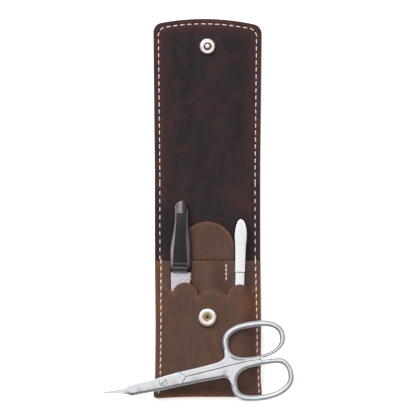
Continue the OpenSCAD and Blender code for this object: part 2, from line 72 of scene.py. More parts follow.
lining_low, lining_high = box_mm("back_lining")
spine_low, spine_high = box_mm("spine_leather")
pocket_high, flap_high = box_mm("pocket_front")[1], box_mm("flap_lining")[1]
fold_y, spine_y0, spine_y1 = lining_low.y, spine_low.y, spine_high.y
joint_cut_y = (spine_y0 + spine_y1) / 2
case_half, foot_half = spine_high.x, lining_high.x
mouth_y, z_front = pocket_high.y, pocket_high.z
leather_t, z_lining = lining_low.z, lining_high.z
divider_t = box_mm("divider_tab")[1].z - z_lining
z_strip = z_lining + divider_t + leather_t
flap_lean = math.atan2(flap_high.z - z_lining, flap_high.y - spine_y1)
BACK_FOLD, FLAP_FOLD = ("root", "spine", spine_y0), ("spine", "flap", spine_y1)
FOLD_REACH = 2.6


def add_object(name, data):
    obj = bpy.data.objects.new(name, data)
    bpy.context.scene.collection.objects.link(obj)
    return obj


def hand_over(obj, body, nodes=()):
    """Hides the parts a piece stands for and hangs it on its body; a piece on a fold is only baked in place.
    """
    if nodes:
        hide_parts(*nodes)
    if body in (BACK_FOLD, FLAP_FOLD):
        parent, child, y = body
        start, end = [(0, (y + reach) * MM, z_lining * MM) for reach in (-FOLD_REACH, FOLD_REACH)]
        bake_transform(obj)
        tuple(start)
        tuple(end)
    else:
        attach(obj, body)
    print(obj.name, len(obj.data.polygons), "faces")


print("case", round(case_half * 2, 2), "mm wide, mouth at", round(mouth_y, 2))

# %% [markdown]
# The photograph looks straight down on the case through a long lens, so the
# camera hangs high above it. A long lens keeps the thick pocket and the thin
# flap at nearly the same scale, as a catalogue picture does.

# %% Camera and lamps
FRAME_MM, LENS, SENSOR = 199.5, 250, 36


def place_camera():
    data = bpy.data.cameras.new("camera")
    data.lens, data.sensor_width = LENS, SENSOR
    data.clip_start, data.clip_end = 0.01, 10
    camera = add_object("camera", data)
    camera.location = Vector((0.24, 38.98, FRAME_MM * LENS / SENSOR + z_lining)) * MM
    bpy.context.scene.camera = camera


def area_lamp(name, place, size, watts):
    """A soft square lamp that looks at the middle of the case."""
    data = bpy.data.lights.new(name, "AREA")
    data.shape, data.size, data.energy = "SQUARE", size, watts
    lamp = add_object(name, data)
    lamp.location = place
    aim = Vector((0, 0.03, 0)) - Vector(place)
    lamp.rotation_euler = aim.to_track_quat("-Z", "Y").to_euler()


bpy.context.scene.view_settings.view_transform = "Standard"
place_camera()
area_lamp("key_top_left", (-0.45, 0.75, 0.75), 0.85, 7.8)
area_lamp("fill_right", (0.45, 0.55, 0.85), 0.8, 1.6)

# %% [markdown]
# A finish is a network of nodes. Noises and cells make its grain and its wear,
# and arithmetic mixes them into a colour, a roughness and a height. A small
# class adds a node with its links in one call, so a finish reads as a recipe.


# %% Node helpers
def linear(r, g, b):
    """A colour as a screen shows it, 0 to 255, in the linear values that nodes take."""
    share = [c / 255 for c in (r, g, b)]
    return (*[c / 12.92 if c <= 0.04045 else ((c + 0.055) / 1.055) ** 2.4 for c in share], 1)


class Tree:
    """Short ways to add nodes and links to one node tree."""

    def __init__(self, tree):
        self.tree = tree

    def fill(self, node, inputs):
        """Sets a node's inputs, or links them where the value is another node's output."""
        for key, value in inputs.items():
            if isinstance(value, bpy.types.NodeSocket):
                self.tree.links.new(value, node.inputs[key])
            else:
                node.inputs[key].default_value = value

    def add(self, kind, inputs=None, **settings):
        node = self.tree.nodes.new(kind)
        for key, value in settings.items():
            setattr(node, key, value)
        self.fill(node, inputs or {})
        return node.outputs

    def get(self, kind, inputs=None, **settings):
        return self.add(kind, inputs, **settings)[0]

    def math(self, operation, a, b, clamp=False):
        return self.get("ShaderNodeMath", {0: a, 1: b}, operation=operation, use_clamp=clamp)

    def times(self, a, b, clamp=False):
        return self.math("MULTIPLY", a, b, clamp)

    def plus(self, a, b, clamp=False):
        return self.math("ADD", a, b, clamp)

    def mix(self, factor, a, b):
        return self.add("ShaderNodeMix", {0: factor, 6: a, 7: b}, data_type="RGBA")[2]

    def xyz(self, **parts):
        return self.get("ShaderNodeCombineXYZ", parts)

    def noise(self, vector, scale, detail=3.0, rough=0.6, distortion=0.0):
        return self.get("ShaderNodeTexNoise", {"Vector": vector, "Scale": scale, "Detail": detail,
                                               "Roughness": rough, "Distortion": distortion})

    def steps(self, value, low, high):
        """0 below low, 1 above high and smooth between them."""
        return self.get("ShaderNodeMapRange", {"Value": value, "From Min": low, "From Max": high},
                        interpolation_type="SMOOTHSTEP")


def new_group(name, inputs, outputs, kind="ShaderNodeTree"):
    """An empty node group with named sockets. Each is (name, kind) or (name, kind, value)."""
    group = bpy.data.node_groups.new(name, kind)
    for where, sockets in (("INPUT", inputs), ("OUTPUT", outputs)):
        for label, data, *value in sockets:
            socket = group.interface.new_socket(label, in_out=where, socket_type="NodeSocket" + data)
            if value:
                socket.default_value = value[0]
    t = Tree(group)
    return t, t.add("NodeGroupInput"), group.nodes.new("NodeGroupOutput")


def new_material(name, parts, depth_mm, uniform=None):
    """A material. parts gives its colour, roughness and height, uniform the shader's other values."""
    material = bpy.data.materials.new(name)
    material.use_nodes = True
    t = Tree(material.node_tree)
    colour, rough, height = parts(t, t.add("ShaderNodeTexCoord")["Object"])
    bump = t.get("ShaderNodeBump", {"Strength": 1.0, "Distance": depth_mm * MM, "Height": height})
    t.fill(material.node_tree.nodes["Principled BSDF"],
           {"Base Color": colour, "Roughness": rough, "Normal": bump, **(uniform or {})})
    return material


# %% [markdown]
# Metal shows whatever surrounds it, so the sky is not one even white. It is
# brightest overhead and behind the case, and nearly dark in front of it, so
# every edge that turns towards the front is drawn as a dark line. The floor is
# matt, and glows a little to the camera, so it is white but keeps its shadow.

# %% World and floor
def build_world():
    world = bpy.data.worlds.new("studio")
    bpy.context.scene.world = world
    world.use_nodes = True
    t = Tree(world.node_tree)
    towards = {0: t.add("ShaderNodeTexCoord")["Generated"], 1: (-0.2, 0.35, 0.75)}
    height = t.add("ShaderNodeVectorMath", towards, operation="DOT_PRODUCT")["Value"]
    shade = t.get("ShaderNodeValToRGB", {0: height})
    stops = shade.node.color_ramp.elements
    stops[0].position, stops[0].color = 0.0, (0.08, 0.08, 0.09, 1)
    stops[1].position, stops[1].color = 0.8, (1.0, 1.0, 1.0, 1)
    for where, grey in ((0.3, 0.25), (0.6, 0.75)):
        stops.new(where).color = (grey, grey, grey * 1.02, 1)
    t.fill(world.node_tree.nodes["Background"], {"Color": shade, "Strength": 0.95})


def build_floor():
    """A white floor that glows only where the camera or a mirror sees it, and keeps the case's shadow."""
    bpy.ops.mesh.primitive_plane_add(size=3, location=(0, 0, -0.0002))
    floor = bpy.context.active_object
    floor.name = "floor"
    material = bpy.data.materials.new("floor_white")
    material.use_nodes = True
    material.node_tree.nodes.clear()
    t = Tree(material.node_tree)
    ray = t.add("ShaderNodeLightPath")
    seen = t.math("MAXIMUM", ray["Is Camera Ray"], ray["Is Glossy Ray"])
    glow = t.get("ShaderNodeEmission", {"Strength": t.times(seen, 0.55)})
    matt = t.get("ShaderNodeBsdfDiffuse", {"Color": (0.9, 0.9, 0.9, 1)})
    t.add("ShaderNodeOutputMaterial", {"Surface": t.get("ShaderNodeAddShader", {0: matt, 1: glow})})
    floor.data.materials.append(material)


build_world()
build_floor()

# %% [markdown]
# Several finishes share an effect. Pull-up leather is waxed, so it turns
# lighter where it is bent or rubbed, and its grain is a net of small pores.
# Both effects sit in node groups that each leather places with its own values.

# %% The leather finishes
FINISH = [("Color", "Color"), ("Roughness", "Float"), ("Height", "Float")]


def build_leather_group():
    """Waxed leather. Wear is 1 where rubbed light, -1 where darker: dark wax, a darker strip, and painted
    shade on the divider's tab.
    """
    t, into, out = new_group(
        "pull_up_leather",
        [("Vector", "Vector"), ("Base", "Color"), ("Worn", "Color"), ("Dark", "Color"),
         ("Wear", "Float", 0.0), ("Blotches", "Float", 0.5), ("Streaks", "Float", 0.4)], FINISH)
    place, base, worn, dark, wear_and_shade, blotches, streaky = into[:7]
    along = t.get("ShaderNodeMapping", {"Vector": place, "Scale": (1.0, 0.3, 1.0)})
    clouds = t.noise(place, 75.0, 4.0, distortion=0.8)
    broad = t.noise(along, 95.0, distortion=0.5)
    streaks = t.noise(along, 330.0, distortion=0.6)
    speckle = t.noise(place, 1500.0, 2.0, 0.5)
    pores = t.get("ShaderNodeTexVoronoi", {"Vector": place, "Scale": 1150.0}, feature="DISTANCE_TO_EDGE")
    net = t.steps(pores, 0.0, 0.22)
    patch = t.times(t.steps(t.plus(clouds, t.times(streaks, 0.3)), 0.58, 0.98), blotches)
    rubbed = t.math("MAXIMUM", patch, t.times(wear_and_shade, t.steps(streaks, 0.2, 0.62)), True)
    shade = t.steps(t.plus(t.times(streaks, 0.45), t.times(broad, 0.55)), 0.4, 0.62)
    colour = t.mix(t.times(shade, streaky), base, dark)
    colour = t.mix(rubbed, colour, worn)
    # Negative values darken: dark wax, and painted shade where the attribute carries it
    colour = t.mix(t.times(wear_and_shade, -1.0, True), colour, dark)
    colour = t.mix(t.times(t.math("SUBTRACT", 1.0, net), 0.16), colour, dark)
    colour = t.mix(t.times(t.steps(speckle, 0.5, 0.75), 0.2), colour, t.mix(0.55, base, worn))
    grain = t.plus(t.times(net, 0.45), t.times(speckle, 0.25))
    t.fill(out, {"Color": colour, "Roughness": t.plus(0.47, t.times(clouds, 0.2)),
                 "Height": t.plus(grain, t.times(streaks, 0.6))})
    return t.tree


def build_fibre_group():
    """A cut leather edge, where the loose fibres show in thin layers."""
    t, into, out = new_group("cut_fibres", [("Vector", "Vector"), ("Light", "Color"), ("Dark", "Color")],
                             [FINISH[0], FINISH[2]])
    place, light, dark = into[:3]
    layers = t.get("ShaderNodeMapping", {"Vector": place, "Scale": (1.0, 1.0, 6.0)})
    fibres = t.noise(layers, 700.0, 4.0, 0.65, 0.5)
    fac = t.plus(t.times(fibres, 0.6), t.times(t.noise(place, 160.0, 2.0, 0.5), 0.5), True)
    t.fill(out, {"Color": t.mix(fac, dark, light), "Height": fibres})
    return t.tree


LEATHER, FIBRES = build_leather_group(), build_fibre_group()


def leather_material(name, base, worn, dark, blotches, streaks, depth, gloss):
    def parts(t, place):
        wear_and_shade = t.add("ShaderNodeAttribute", attribute_name="wear_and_shade")["Fac"]
        inputs = {"Vector": place, "Base": linear(*base), "Worn": linear(*worn), "Dark": linear(*dark),
                  "Wear": wear_and_shade, "Blotches": blotches, "Streaks": streaks}
        return t.add("ShaderNodeGroup", inputs, node_tree=LEATHER)[:3]
    return new_material(name, parts, depth, {"Specular IOR Level": gloss})


def edge_material(name, light, dark):
    def parts(t, place):
        inputs = {"Vector": place, "Light": linear(*light), "Dark": linear(*dark)}
        colour, height = t.add("ShaderNodeGroup", inputs, node_tree=FIBRES)[:2]
        return colour, 0.6, height
    return new_material(name, parts, 0.12)


BROWN = [leather_material("outer_leather", (93, 70, 59), (158, 96, 56), (68, 50, 46), 0.22, 0.42, 0.05, 0.16),
         edge_material("outer_leather_edge", (156, 98, 54), (96, 62, 40))]
DARK = [leather_material("lining_leather", (52, 41, 41), (98, 55, 47), (34, 32, 37), 0.5, 0.85, 0.04, 0.12),
        edge_material("lining_edge", (84, 57, 46), (46, 36, 34))]
print("leather finishes made")

# %% [markdown]
# A sheet of leather is cut from a flat outline. A constrained triangulation
# fills the outline with small triangles and keeps every cut and seam as an
# edge of the mesh, which a plain grid would step across. Lifting the points
# by a height function then shapes the sheet, and the wall follows below it.


# %% Flat cutting
def path(*points):
    return [Vector(p) for p in points]


def resample(points, step, closed=True):
    """Points along an outline, step apart, that keep its corners."""
    made = []
    for a, b in zip(points, points[1:] + points[:1] if closed else points[1:]):
        pieces = max(1, round((b - a).length / step))
        made += [a.lerp(b, k / pieces) for k in range(pieces)]
    return made if closed else made + [points[-1]]


def inside(points, outline):
    """True for each point that lies in the outline."""
    px, py = points[:, 0], points[:, 1]
    result = np.zeros(len(points), bool)
    shape = np.array([tuple(p) for p in outline])
    for (x0, y0), (x1, y1) in zip(shape, np.roll(shape, -1, 0)):
        crosses = (y0 > py) != (y1 > py)
        with np.errstate(divide="ignore", invalid="ignore"):
            result ^= crosses & (px < (x1 - x0) * (py - y0) / (y1 - y0) + x0)
    return result


def distance_to(points, lines):
    """Distance from each point to the nearest of several polylines."""
    best = np.full(len(points), 1e9)
    for line in lines:
        p = np.array([tuple(q) for q in line], float)
        for a, b in zip(p[:-1], p[1:]):
            d = b - a
            t = np.clip(((points - a) @ d) / max(d @ d, 1e-12), 0, 1)
            best = np.minimum(best, np.linalg.norm(points - a - t[:, None] * d, axis=1))
    return best


def plane_tree(points):
    """A search tree over points in the plane."""
    tree = kdtree.KDTree(len(points))
    for i, p in enumerate(points):
        tree.insert((p[0], p[1], 0), i)
    tree.balance()
    return tree


def cut_sheet(outline, xs, ys, cuts=(), guides=(), keep_off=0.45):
    """Triangles that fill an outline. xs and ys are the grid, cuts are kept as edges and guides as points."""
    barriers = [outline + outline[:1], *cuts]

    def clear(points):
        points = points[inside(points, outline)]
        return points[distance_to(points, barriers) > keep_off]
    grid = clear(np.array([(x, y) for x in xs for y in ys], float))
    extra = []
    if guides:
        extra = clear(np.array([tuple(p) for g in guides for p in g], float))
        tree = plane_tree(extra)
        grid = [p for p in grid if tree.find((p[0], p[1], 0))[2] > keep_off]
    points, edges = list(outline), []
    for cut in cuts:
        edges += [(len(points) + i, len(points) + i + 1) for i in range(len(cut) - 1)]
        points += cut
    points += path(*extra, *grid)
    made = geometry.delaunay_2d_cdt(points, edges, [list(range(len(outline)))], 1, 1e-4)
    return np.array([tuple(v) for v in made[0]]), [list(f) for f in made[2]]


@contextmanager
def edited(mesh):
    """A mesh opened for editing, and written back at the end."""
    shell = bmesh.new()
    shell.from_mesh(mesh)
    yield shell
    shell.to_mesh(mesh)
    shell.free()


def mesh_object(name, points_mm, faces, solid=False):
    mesh = bpy.data.meshes.new(name)
    mesh.from_pydata([tuple(c * MM for c in p) for p in points_mm], [], faces)
    if solid:
        with edited(mesh) as shell:
            bmesh.ops.recalc_face_normals(shell, faces=shell.faces)
    return add_object(name, mesh)


def apply_modifiers(obj):
    """Turns an object's modifiers into mesh."""
    dg = bpy.context.evaluated_depsgraph_get()
    obj.data = bpy.data.meshes.new_from_object(obj.evaluated_get(dg))
    obj.modifiers.clear()
    return obj.data


def finish_mesh(obj, materials, smooth_deg=35):
    """Applies the modifiers, gives the piece its materials and smooths all but its sharp edges."""
    mesh = apply_modifiers(obj)
    mesh.name = obj.name
    mesh.materials.clear()
    for material in materials:
        mesh.materials.append(material)
    mesh.shade_smooth()
    mesh.set_sharp_from_angle(angle=math.radians(smooth_deg))


def values_of(obj, name):
    """A vector of each vertex, as rows."""
    values = np.empty(len(obj.data.vertices) * 3)
    obj.data.vertices.foreach_get(name, values)
    return values.reshape(-1, 3)


def points_of(obj):
    return values_of(obj, "co") / MM


def place_points(obj, points):
    obj.data.vertices.foreach_set("co", (np.asarray(points) * MM).ravel())
    obj.data.update()


def set_attribute(obj, name, values):
    attribute = obj.data.attributes.new(name, "FLOAT", "POINT")
    attribute.data.foreach_set("value", np.asarray(values, np.float32))


def thicken(obj, thickness, round_mm, square_y=None):
    """Gives a sheet a wall below it, with rounded cut edges in the second material. At square_y the cut stays
    square, because another piece goes on there."""
    wall = obj.modifiers.new("wall", "SOLIDIFY")
    wall.thickness, wall.offset = thickness * MM, -1
    wall.use_even_offset, wall.material_offset_rim = True, 1
    for material in BROWN:
        obj.data.materials.append(material)
    with edited(apply_modifiers(obj)) as shell:
        sharp = []
        for edge in shell.edges:
            kinds = {f.material_index for f in edge.link_faces}
            joint = square_y is not None and all(abs(v.co.y / MM - square_y) < 0.01 for v in edge.verts)
            if len(edge.link_faces) == 2 and kinds == {0, 1} and not joint:
                sharp.append(edge)
        bmesh.ops.bevel(shell, geom=sharp, offset=round_mm * MM, segments=2, profile=0.6,
                        affect="EDGES", clamp_overlap=True, material=1)


def smooth_step(t):
    t = np.clip(t, 0, 1)
    return t * t * (3 - 2 * t)


print("cutting tools ready")

# %% [markdown]
# The seams come first, because the leather dips along them. On the flap one
# seam runs up the left side, over the arc and down the right side. On the
# pocket each side has its own seam, and two short seams hold the channel in
# which the blades of the scissors stand.

# %% Outlines and seams
FLAP_CORNER_R, FLAP_ARC_R, FLAP_ARC_X = 4.6, 112.0, -1.7
SEAM_IN, SEAM_DIP = 2.45, 0.16
FLARE_Y = -41.6
GRID = 1.6
grid_xs = np.arange(-case_half + GRID, case_half, GRID)
flap_end_y = spine_y1 + (flap_high.y - spine_y1) / math.cos(flap_lean)
seam_half = case_half - SEAM_IN


def arc(cx, cy, r, a0, a1, count):
    angles = np.radians(np.linspace(a0, a1, count + 1))
    return path(*[(cx + r * math.cos(a), cy + r * math.sin(a)) for a in angles])


def flap_end(inset):
    """The rounded end of the flap, from its right side over the arc to its left side."""
    r = FLAP_CORNER_R - 0.3 * inset
    half = flap_high.x - inset
    arc_y, arc_r = flap_end_y - FLAP_ARC_R, FLAP_ARC_R - inset
    ends = []
    for side in (1, -1):
        across = side * (half - r) - FLAP_ARC_X
        up = math.sqrt((arc_r - r) ** 2 - across ** 2)
        ends.append((Vector((side * (half - r), arc_y + up)), math.degrees(math.atan2(up, across))))
    (right, a0), (left, a1) = ends
    return (arc(right.x, right.y, r, 0, a0, 8) + arc(FLAP_ARC_X, arc_y, arc_r, a0, a1, 40)[1:]
            + arc(left.x, left.y, r, a1, 180, 8)[1:])


def case_outline(top_y, top=()):
    """Outline from the bottom fold up to top_y, with more points along its top edge."""
    right = path((-foot_half, fold_y), (foot_half, fold_y), (case_half, FLARE_Y), (case_half, top_y))
    return [*right, *top, *path((-case_half, top_y), (-case_half, FLARE_Y))]


flap_outline = path((-case_half, joint_cut_y), (case_half, joint_cut_y), (case_half, spine_y1), *flap_end(0),
                    (-case_half, spine_y1))
flap_edge = flap_outline[1:] + flap_outline[:1]
flap_seam = path((seam_half, joint_cut_y), (seam_half, spine_y1), *flap_end(SEAM_IN),
                 (-seam_half, spine_y1), (-seam_half, joint_cut_y))
lower_outline = case_outline(joint_cut_y)
lower_edges = [lower_outline[1:4], lower_outline[4:] + lower_outline[:1]]
lower_seams = [path((side * (foot_half - SEAM_IN), fold_y + 1.2), (side * seam_half, FLARE_Y),
                    (side * seam_half, joint_cut_y)) for side in (-1, 1)]


def lean_flap(points):
    """Turns flat points of the flap past its fold up to its resting lean."""
    made = np.array(points, float)
    past = made[:, 1] > spine_y1
    y, z = made[past, 1] - spine_y1, made[past, 2] - z_lining
    c, s = math.cos(flap_lean), math.sin(flap_lean)
    made[past, 1] = spine_y1 + y * c - z * s
    made[past, 2] = z_lining + y * s + z * c
    return made


def bend_rows(y0, y1, coarse):
    """Grid lines along the case: close together at the two folds, coarse elsewhere."""
    rows, y = [], y0 + coarse
    while y < y1:
        rows.append(y)
        y += 0.55 if min(abs(y - spine_y0), abs(y - spine_y1)) < 4 else coarse
    return rows


def beside(line, off):
    """A polyline moved sideways by off."""
    made = []
    for i, p in enumerate(line):
        d = (line[min(len(line) - 1, i + 1)] - line[max(0, i - 1)]).normalized()
        made.append(p + Vector((-d.y, d.x)) * off)
    return made


def seam_guides(seams):
    """Mesh points on a seam and on both sides of it, so that the leather can dip there."""
    made = []
    for seam in seams:
        dense = resample(seam, 1.1, closed=False)
        made += [dense, beside(dense, 0.65), beside(dense, -0.65)]
    return made


def seam_dip(points, seams):
    return np.exp(-((distance_to(points[:, :2], seams) / 0.45) ** 2))


def sway(points):
    """Soft leather is never straight: the pocket leans to the right, and its corners sag at the fold."""
    made = np.array(points, float)
    x, y = made[:, 0].copy(), made[:, 1].copy()
    made[:, 0] += 0.36 * np.exp(-(((y + 17) / 25) ** 2))
    low = 1 - smooth_step((y - fold_y + 2) / 9)
    sag = np.where(x < 0, 0.85, 0.5) * np.clip(np.abs(x) / 25, 0, 1) ** 2.4
    corner = 0.9 * np.clip((np.abs(x) - foot_half + 2.4) / 2.4, 0, 1) ** 2
    made[:, 1] -= low * (sag - corner)
    return made


# %% [markdown]
# The flap is a thin sandwich. Its outer leather lies underneath and its
# lining on top, and both bend where the flap meets the spine. Each layer is
# one closed mesh from the middle of the spine to the end of the flap.


# %% Flat layers of the case
def rim_wear(obj, edges, seams, rim=0.5, seam=0.5, extra=None):
    """Wear of a layer: along its cut edges and in its seams."""
    p = points_of(obj)
    edge = 1 - smooth_step(distance_to(p[:, :2], edges) / 1.6)
    wear_and_shade = np.maximum(edge * rim, seam_dip(p, seams) * seam)
    if extra is not None:
        more = extra(p)
        wear_and_shade = np.where(more < 0, more, np.maximum(wear_and_shade, more))
    set_attribute(obj, "wear_and_shade", wear_and_shade)


def lining_wear(p):
    """The lining is handled most along its sides and its end, and keeps its dark wax in the middle."""
    d = distance_to(p[:, :2], [flap_edge])
    return 0.62 * np.exp(-((d / 5.5) ** 2)) - 0.3 * smooth_step((d - 9) / 8)


def settle(obj, materials):
    """Sways a flat piece, leans the part of it past the fold, and finishes its mesh."""
    place_points(obj, lean_flap(sway(points_of(obj))))
    finish_mesh(obj, materials)


def flat_layer(name, nodes, outline, seams, edges, fold, lined, extra=None):
    """A flat layer of the case. The lining shows its seam on top, the leather on its underside."""
    z_top, thickness = (z_lining, z_lining - leather_t) if lined else (leather_t, leather_t)
    ys = bend_rows(outline[0].y, max(p.y for p in outline), GRID)
    flat, faces = cut_sheet(resample(outline, 1.2), grid_xs, ys, guides=seam_guides(seams), keep_off=0.42)
    z = z_top - seam_dip(flat, seams) * SEAM_DIP * lined
    obj = mesh_object(name, np.column_stack([flat, z]), faces)
    thicken(obj, thickness, 0.14 if lined else 0.2, joint_cut_y)
    if not lined:
        p = points_of(obj)
        low = p[:, 2] < 0.05
        p[low, 2] += seam_dip(p[low], seams) * SEAM_DIP
        place_points(obj, p)
    rim_wear(obj, edges, seams, extra=extra)
    settle(obj, DARK if lined else BROWN)
    hand_over(obj, fold, nodes)


flap_shape = (flap_outline, [flap_seam], [flap_edge], FLAP_FOLD)
lower_shape = (lower_outline, lower_seams, lower_edges, BACK_FOLD)
flat_layer("flap_outer_leather", ["flap_leather"], *flap_shape, lined=False)
flat_layer("flap_inner_lining", ["flap_lining"], *flap_shape, lined=True, extra=lining_wear)
flat_layer("back_inner_lining", ["back_lining", "spine_lining"], *lower_shape, lined=True)

# %% [markdown]
# The pocket's front is the part of the leather with the most shape. Below the
# arched slits it is one soft mound over the tools. Each slit leaves a round
# tongue that holds a tool down, the leather above the slit lies flat under
# that tool, and between the slits a channel stays open for the blades.

# %% Shape of the pocket's front
POCKET_X, MOUND_HALF = 0.2, 23.0
CHANNEL_X, CHANNEL_HALF = 0.55, 9.4
SLIT_R, FRONT_GRID = 6.0, 0.95
slit_y = mouth_y - 11.15 - SLIT_R
# Each slit: the middle of its arc, and the angles between which it is cut
SLITS = [(-11.0, slit_y + 0.95, -4, 166), (15.2, slit_y, 22, 172)]
slit_arcs = [arc(x, y, SLIT_R, a0, a1, 30) for x, y, a0, a1 in SLITS]
slit_ends = sorted([tuple(line[i]) for line in slit_arcs for i in (0, -1)])
front_side = case_outline(mouth_y)
CHANNEL_SEAMS = [path((x, mouth_y - 2.3), (x, mouth_y - 8.5)) for x in (-8.25, 8.8)]
FRONT_SEAMS = [path((-foot_half + 2.4, fold_y + 0.8), (-seam_half + 0.1, FLARE_Y),
                    (-seam_half + 0.2, -10.0), (-seam_half + 0.5, mouth_y - 0.6)),
               path((foot_half - 1.3, fold_y + 0.8), (seam_half + 0.7, -30.0),
                    (seam_half + 0.3, -5.0), (seam_half, mouth_y - 0.6))]
POCKET_SEAMS = FRONT_SEAMS + CHANNEL_SEAMS
foot_xs = np.linspace(-foot_half, foot_half, 41)


def end_y(x):
    """The line that joins the slits' ends, from one side of the pocket to the other."""
    return np.interp(x, *zip(*slit_ends))


def roof_share(x, y):
    """Share of the pocket's height below the slits, 0 on its flat edge and 1 on its roof."""
    side = 1 - smooth_step((np.abs(x - POCKET_X) / MOUND_HALF - 0.7) / 0.3)
    return side * smooth_step((y - fold_y - 0.4) / 7.3)


def channel_share(x, y):
    """The channel is a soft wave that gets lower towards the mouth."""
    wave = 0.5 + 0.5 * np.cos(np.pi * np.clip((x - CHANNEL_X) / CHANNEL_HALF, -1, 1))
    return 0.82 * wave * (1 - 0.3 * smooth_step((y - slit_y - 2) / (mouth_y - slit_y - 2)))


def shoulder_share(x, y):
    """The leather beside a slit slopes down to the flat strip, steeply at the slit's end."""
    room = np.min([np.maximum(0, np.abs(x - slit[0]) - SLIT_R) for slit in SLITS], axis=0)
    return roof_share(x, end_y(x)) * (1 - smooth_step((y - end_y(x)) / (0.4 + 1.3 * room)))


def front_height(points, on_tongue):
    """Height of the front's outer surface. A tongue bends down a little towards its round end."""
    x, y = points[:, 0], points[:, 1]
    above = np.maximum(channel_share(x, y), shoulder_share(x, y))
    share = np.where(y <= end_y(x), roof_share(x, y), above)
    share = np.where(on_tongue, roof_share(x, y) - 0.13 * smooth_step((y - end_y(x)) / SLIT_R), share)
    return z_strip + share * (z_front - z_strip) - seam_dip(points, POCKET_SEAMS) * SEAM_DIP


def front_surface():
    """Points and faces of the front's outer surface, cut open along the slits."""
    foot = path(*[(x, fold_y) for x in foot_xs])
    outline = foot[:-1] + resample(front_side[1:] + front_side[:1], 1.0, closed=False)[:-1]
    xs = np.arange(-case_half + FRONT_GRID, foot_half, FRONT_GRID)
    ys = np.arange(fold_y + FRONT_GRID, mouth_y, FRONT_GRID)
    flat, faces = cut_sheet(outline, xs, ys, slit_arcs, seam_guides(POCKET_SEAMS), keep_off=0.4)
    sheet = bmesh.new()
    verts = [sheet.verts.new((x, y, 0)) for x, y in flat]
    for f in faces:
        sheet.faces.new([verts[i] for i in f])

    def beyond(co, x, y):
        """How far a point lies outside a slit's circle, or a large number below the slits' ends."""
        return math.hypot(co.x - x, co.y - y) - SLIT_R if co.y > end_y(co.x) - 1e-3 else 1e9

    def on_arc(v):
        return any(abs(beyond(v.co, *slit[:2])) < 1e-3 for slit in SLITS)
    bmesh.ops.split_edges(sheet, edges=[e for e in sheet.edges if all(on_arc(v) for v in e.verts)])
    tongue = sheet.verts.layers.int.new("tongue")
    for face in sheet.faces:
        if any(beyond(face.calc_center_median(), *slit[:2]) < 0 for slit in SLITS):
            for v in face.verts:
                v[tongue] = 1
    sheet.verts.index_update()
    flat = np.array([(v.co.x, v.co.y) for v in sheet.verts])
    on_tongue = np.array([v[tongue] for v in sheet.verts], bool) & (flat[:, 1] > end_y(flat[:, 0]) + 1e-3)
    faces = [[v.index for v in f.verts] for f in sheet.faces]
    sheet.free()
    return np.column_stack([flat, front_height(flat, on_tongue)]), faces


def back_surface():
    """The bottom fold and the back, as a grid of rows that starts at the front's lowest edge."""
    fold_r = z_strip / 2
    rows = [(fold_y - fold_r * math.sin(a), fold_r + fold_r * math.cos(a), foot_half)
            for a in np.linspace(0, math.pi, 15)]
    ys = [fold_y + 2.0, -45.0, FLARE_Y, *bend_rows(FLARE_Y, joint_cut_y, 2.4), joint_cut_y]
    slope = (case_half - foot_half) / (FLARE_Y - fold_y)
    rows += [(y, 0.0, max(case_half, foot_half + slope * (y - fold_y))) for y in ys]
    share = foot_xs / foot_half
    n = len(share)
    faces = [[i * n + j, (i + 1) * n + j, (i + 1) * n + j + 1, i * n + j + 1]
             for i in range(len(rows) - 1) for j in range(n - 1)]
    return np.array([(s * half, y, z) for y, z, half in rows for s in share]), faces


def case_wear(p):
    """Worn places: the bottom fold, the slits' ends, the tongues' rims, the mouth and a few spots, less one
    darker strip on the right.
    """
    x, y, z = p.T
    wear_and_shade = 1 - smooth_step((y - fold_y + 1.9) / 1.9)
    spots = [(*end, 1.5, 0.5) for end in slit_ends]
    spots += [(-24.3, mouth_y - 1.5, 2.2, 0.5), (19.0, -7.0, 4.5, 0.4), (-23.5, -7.0, 3.0, 0.4)]
    for cx, cy, r, share in spots:
        d = np.hypot(x - cx, (y - cy) * 0.7)
        wear_and_shade = np.maximum(wear_and_shade, share * np.exp(-((d / r) ** 2)) * (z > 3))
    for sx, sy, a0, a1 in SLITS:
        d = np.abs(np.hypot(x - sx, y - sy) - SLIT_R)
        wear_and_shade = np.maximum(wear_and_shade, 0.4 * np.exp(-((d / 0.5) ** 2)) * (y > slit_y) * (z > 3))
    mouth = 0.35 * np.exp(-(((y - mouth_y) / 0.4) ** 2)) * (z > 2.9)
    # A darker strip on the right of the pocket, below the mouth
    strip = 0.6 * np.exp(-(((x - 20.6) / 1.6) ** 4 + ((y - 5.5) / 6.5) ** 4)) * (z > 2.9)
    return np.maximum(wear_and_shade, mouth) - strip


def make_case_leather():
    front, front_faces = front_surface()
    back, back_faces = back_surface()
    faces = front_faces + [[i + len(front) for i in f] for f in back_faces]
    obj = mesh_object("case_outer_leather", np.vstack([front, back]), faces)
    with edited(obj.data) as shell:
        foot = [v for v in shell.verts if abs(v.co.y / MM - fold_y) < 1e-3]
        bmesh.ops.remove_doubles(shell, verts=foot, dist=2e-5)
        bmesh.ops.recalc_face_normals(shell, faces=shell.faces)
        if max(shell.faces, key=lambda f: f.calc_center_median().z).normal.z < 0:
            bmesh.ops.reverse_faces(shell, faces=shell.faces)
    thicken(obj, leather_t, 0.2, joint_cut_y)
    rim_wear(obj, lower_edges, POCKET_SEAMS, rim=0.6, seam=0.85, extra=case_wear)
    settle(obj, BROWN)
    hand_over(obj, BACK_FOLD, ["back_leather", "pocket_front", "spine_leather"])


make_case_leather()

# %% [markdown]
# The divider keeps the tools off the lining. Only its round tab shows above
# the mouth, with an edge that the knife left in a lighter orange and a narrow
# band of painted shade just above the mouth.

# %% Divider
TAB_R, TAB_X = 13.0, -0.2


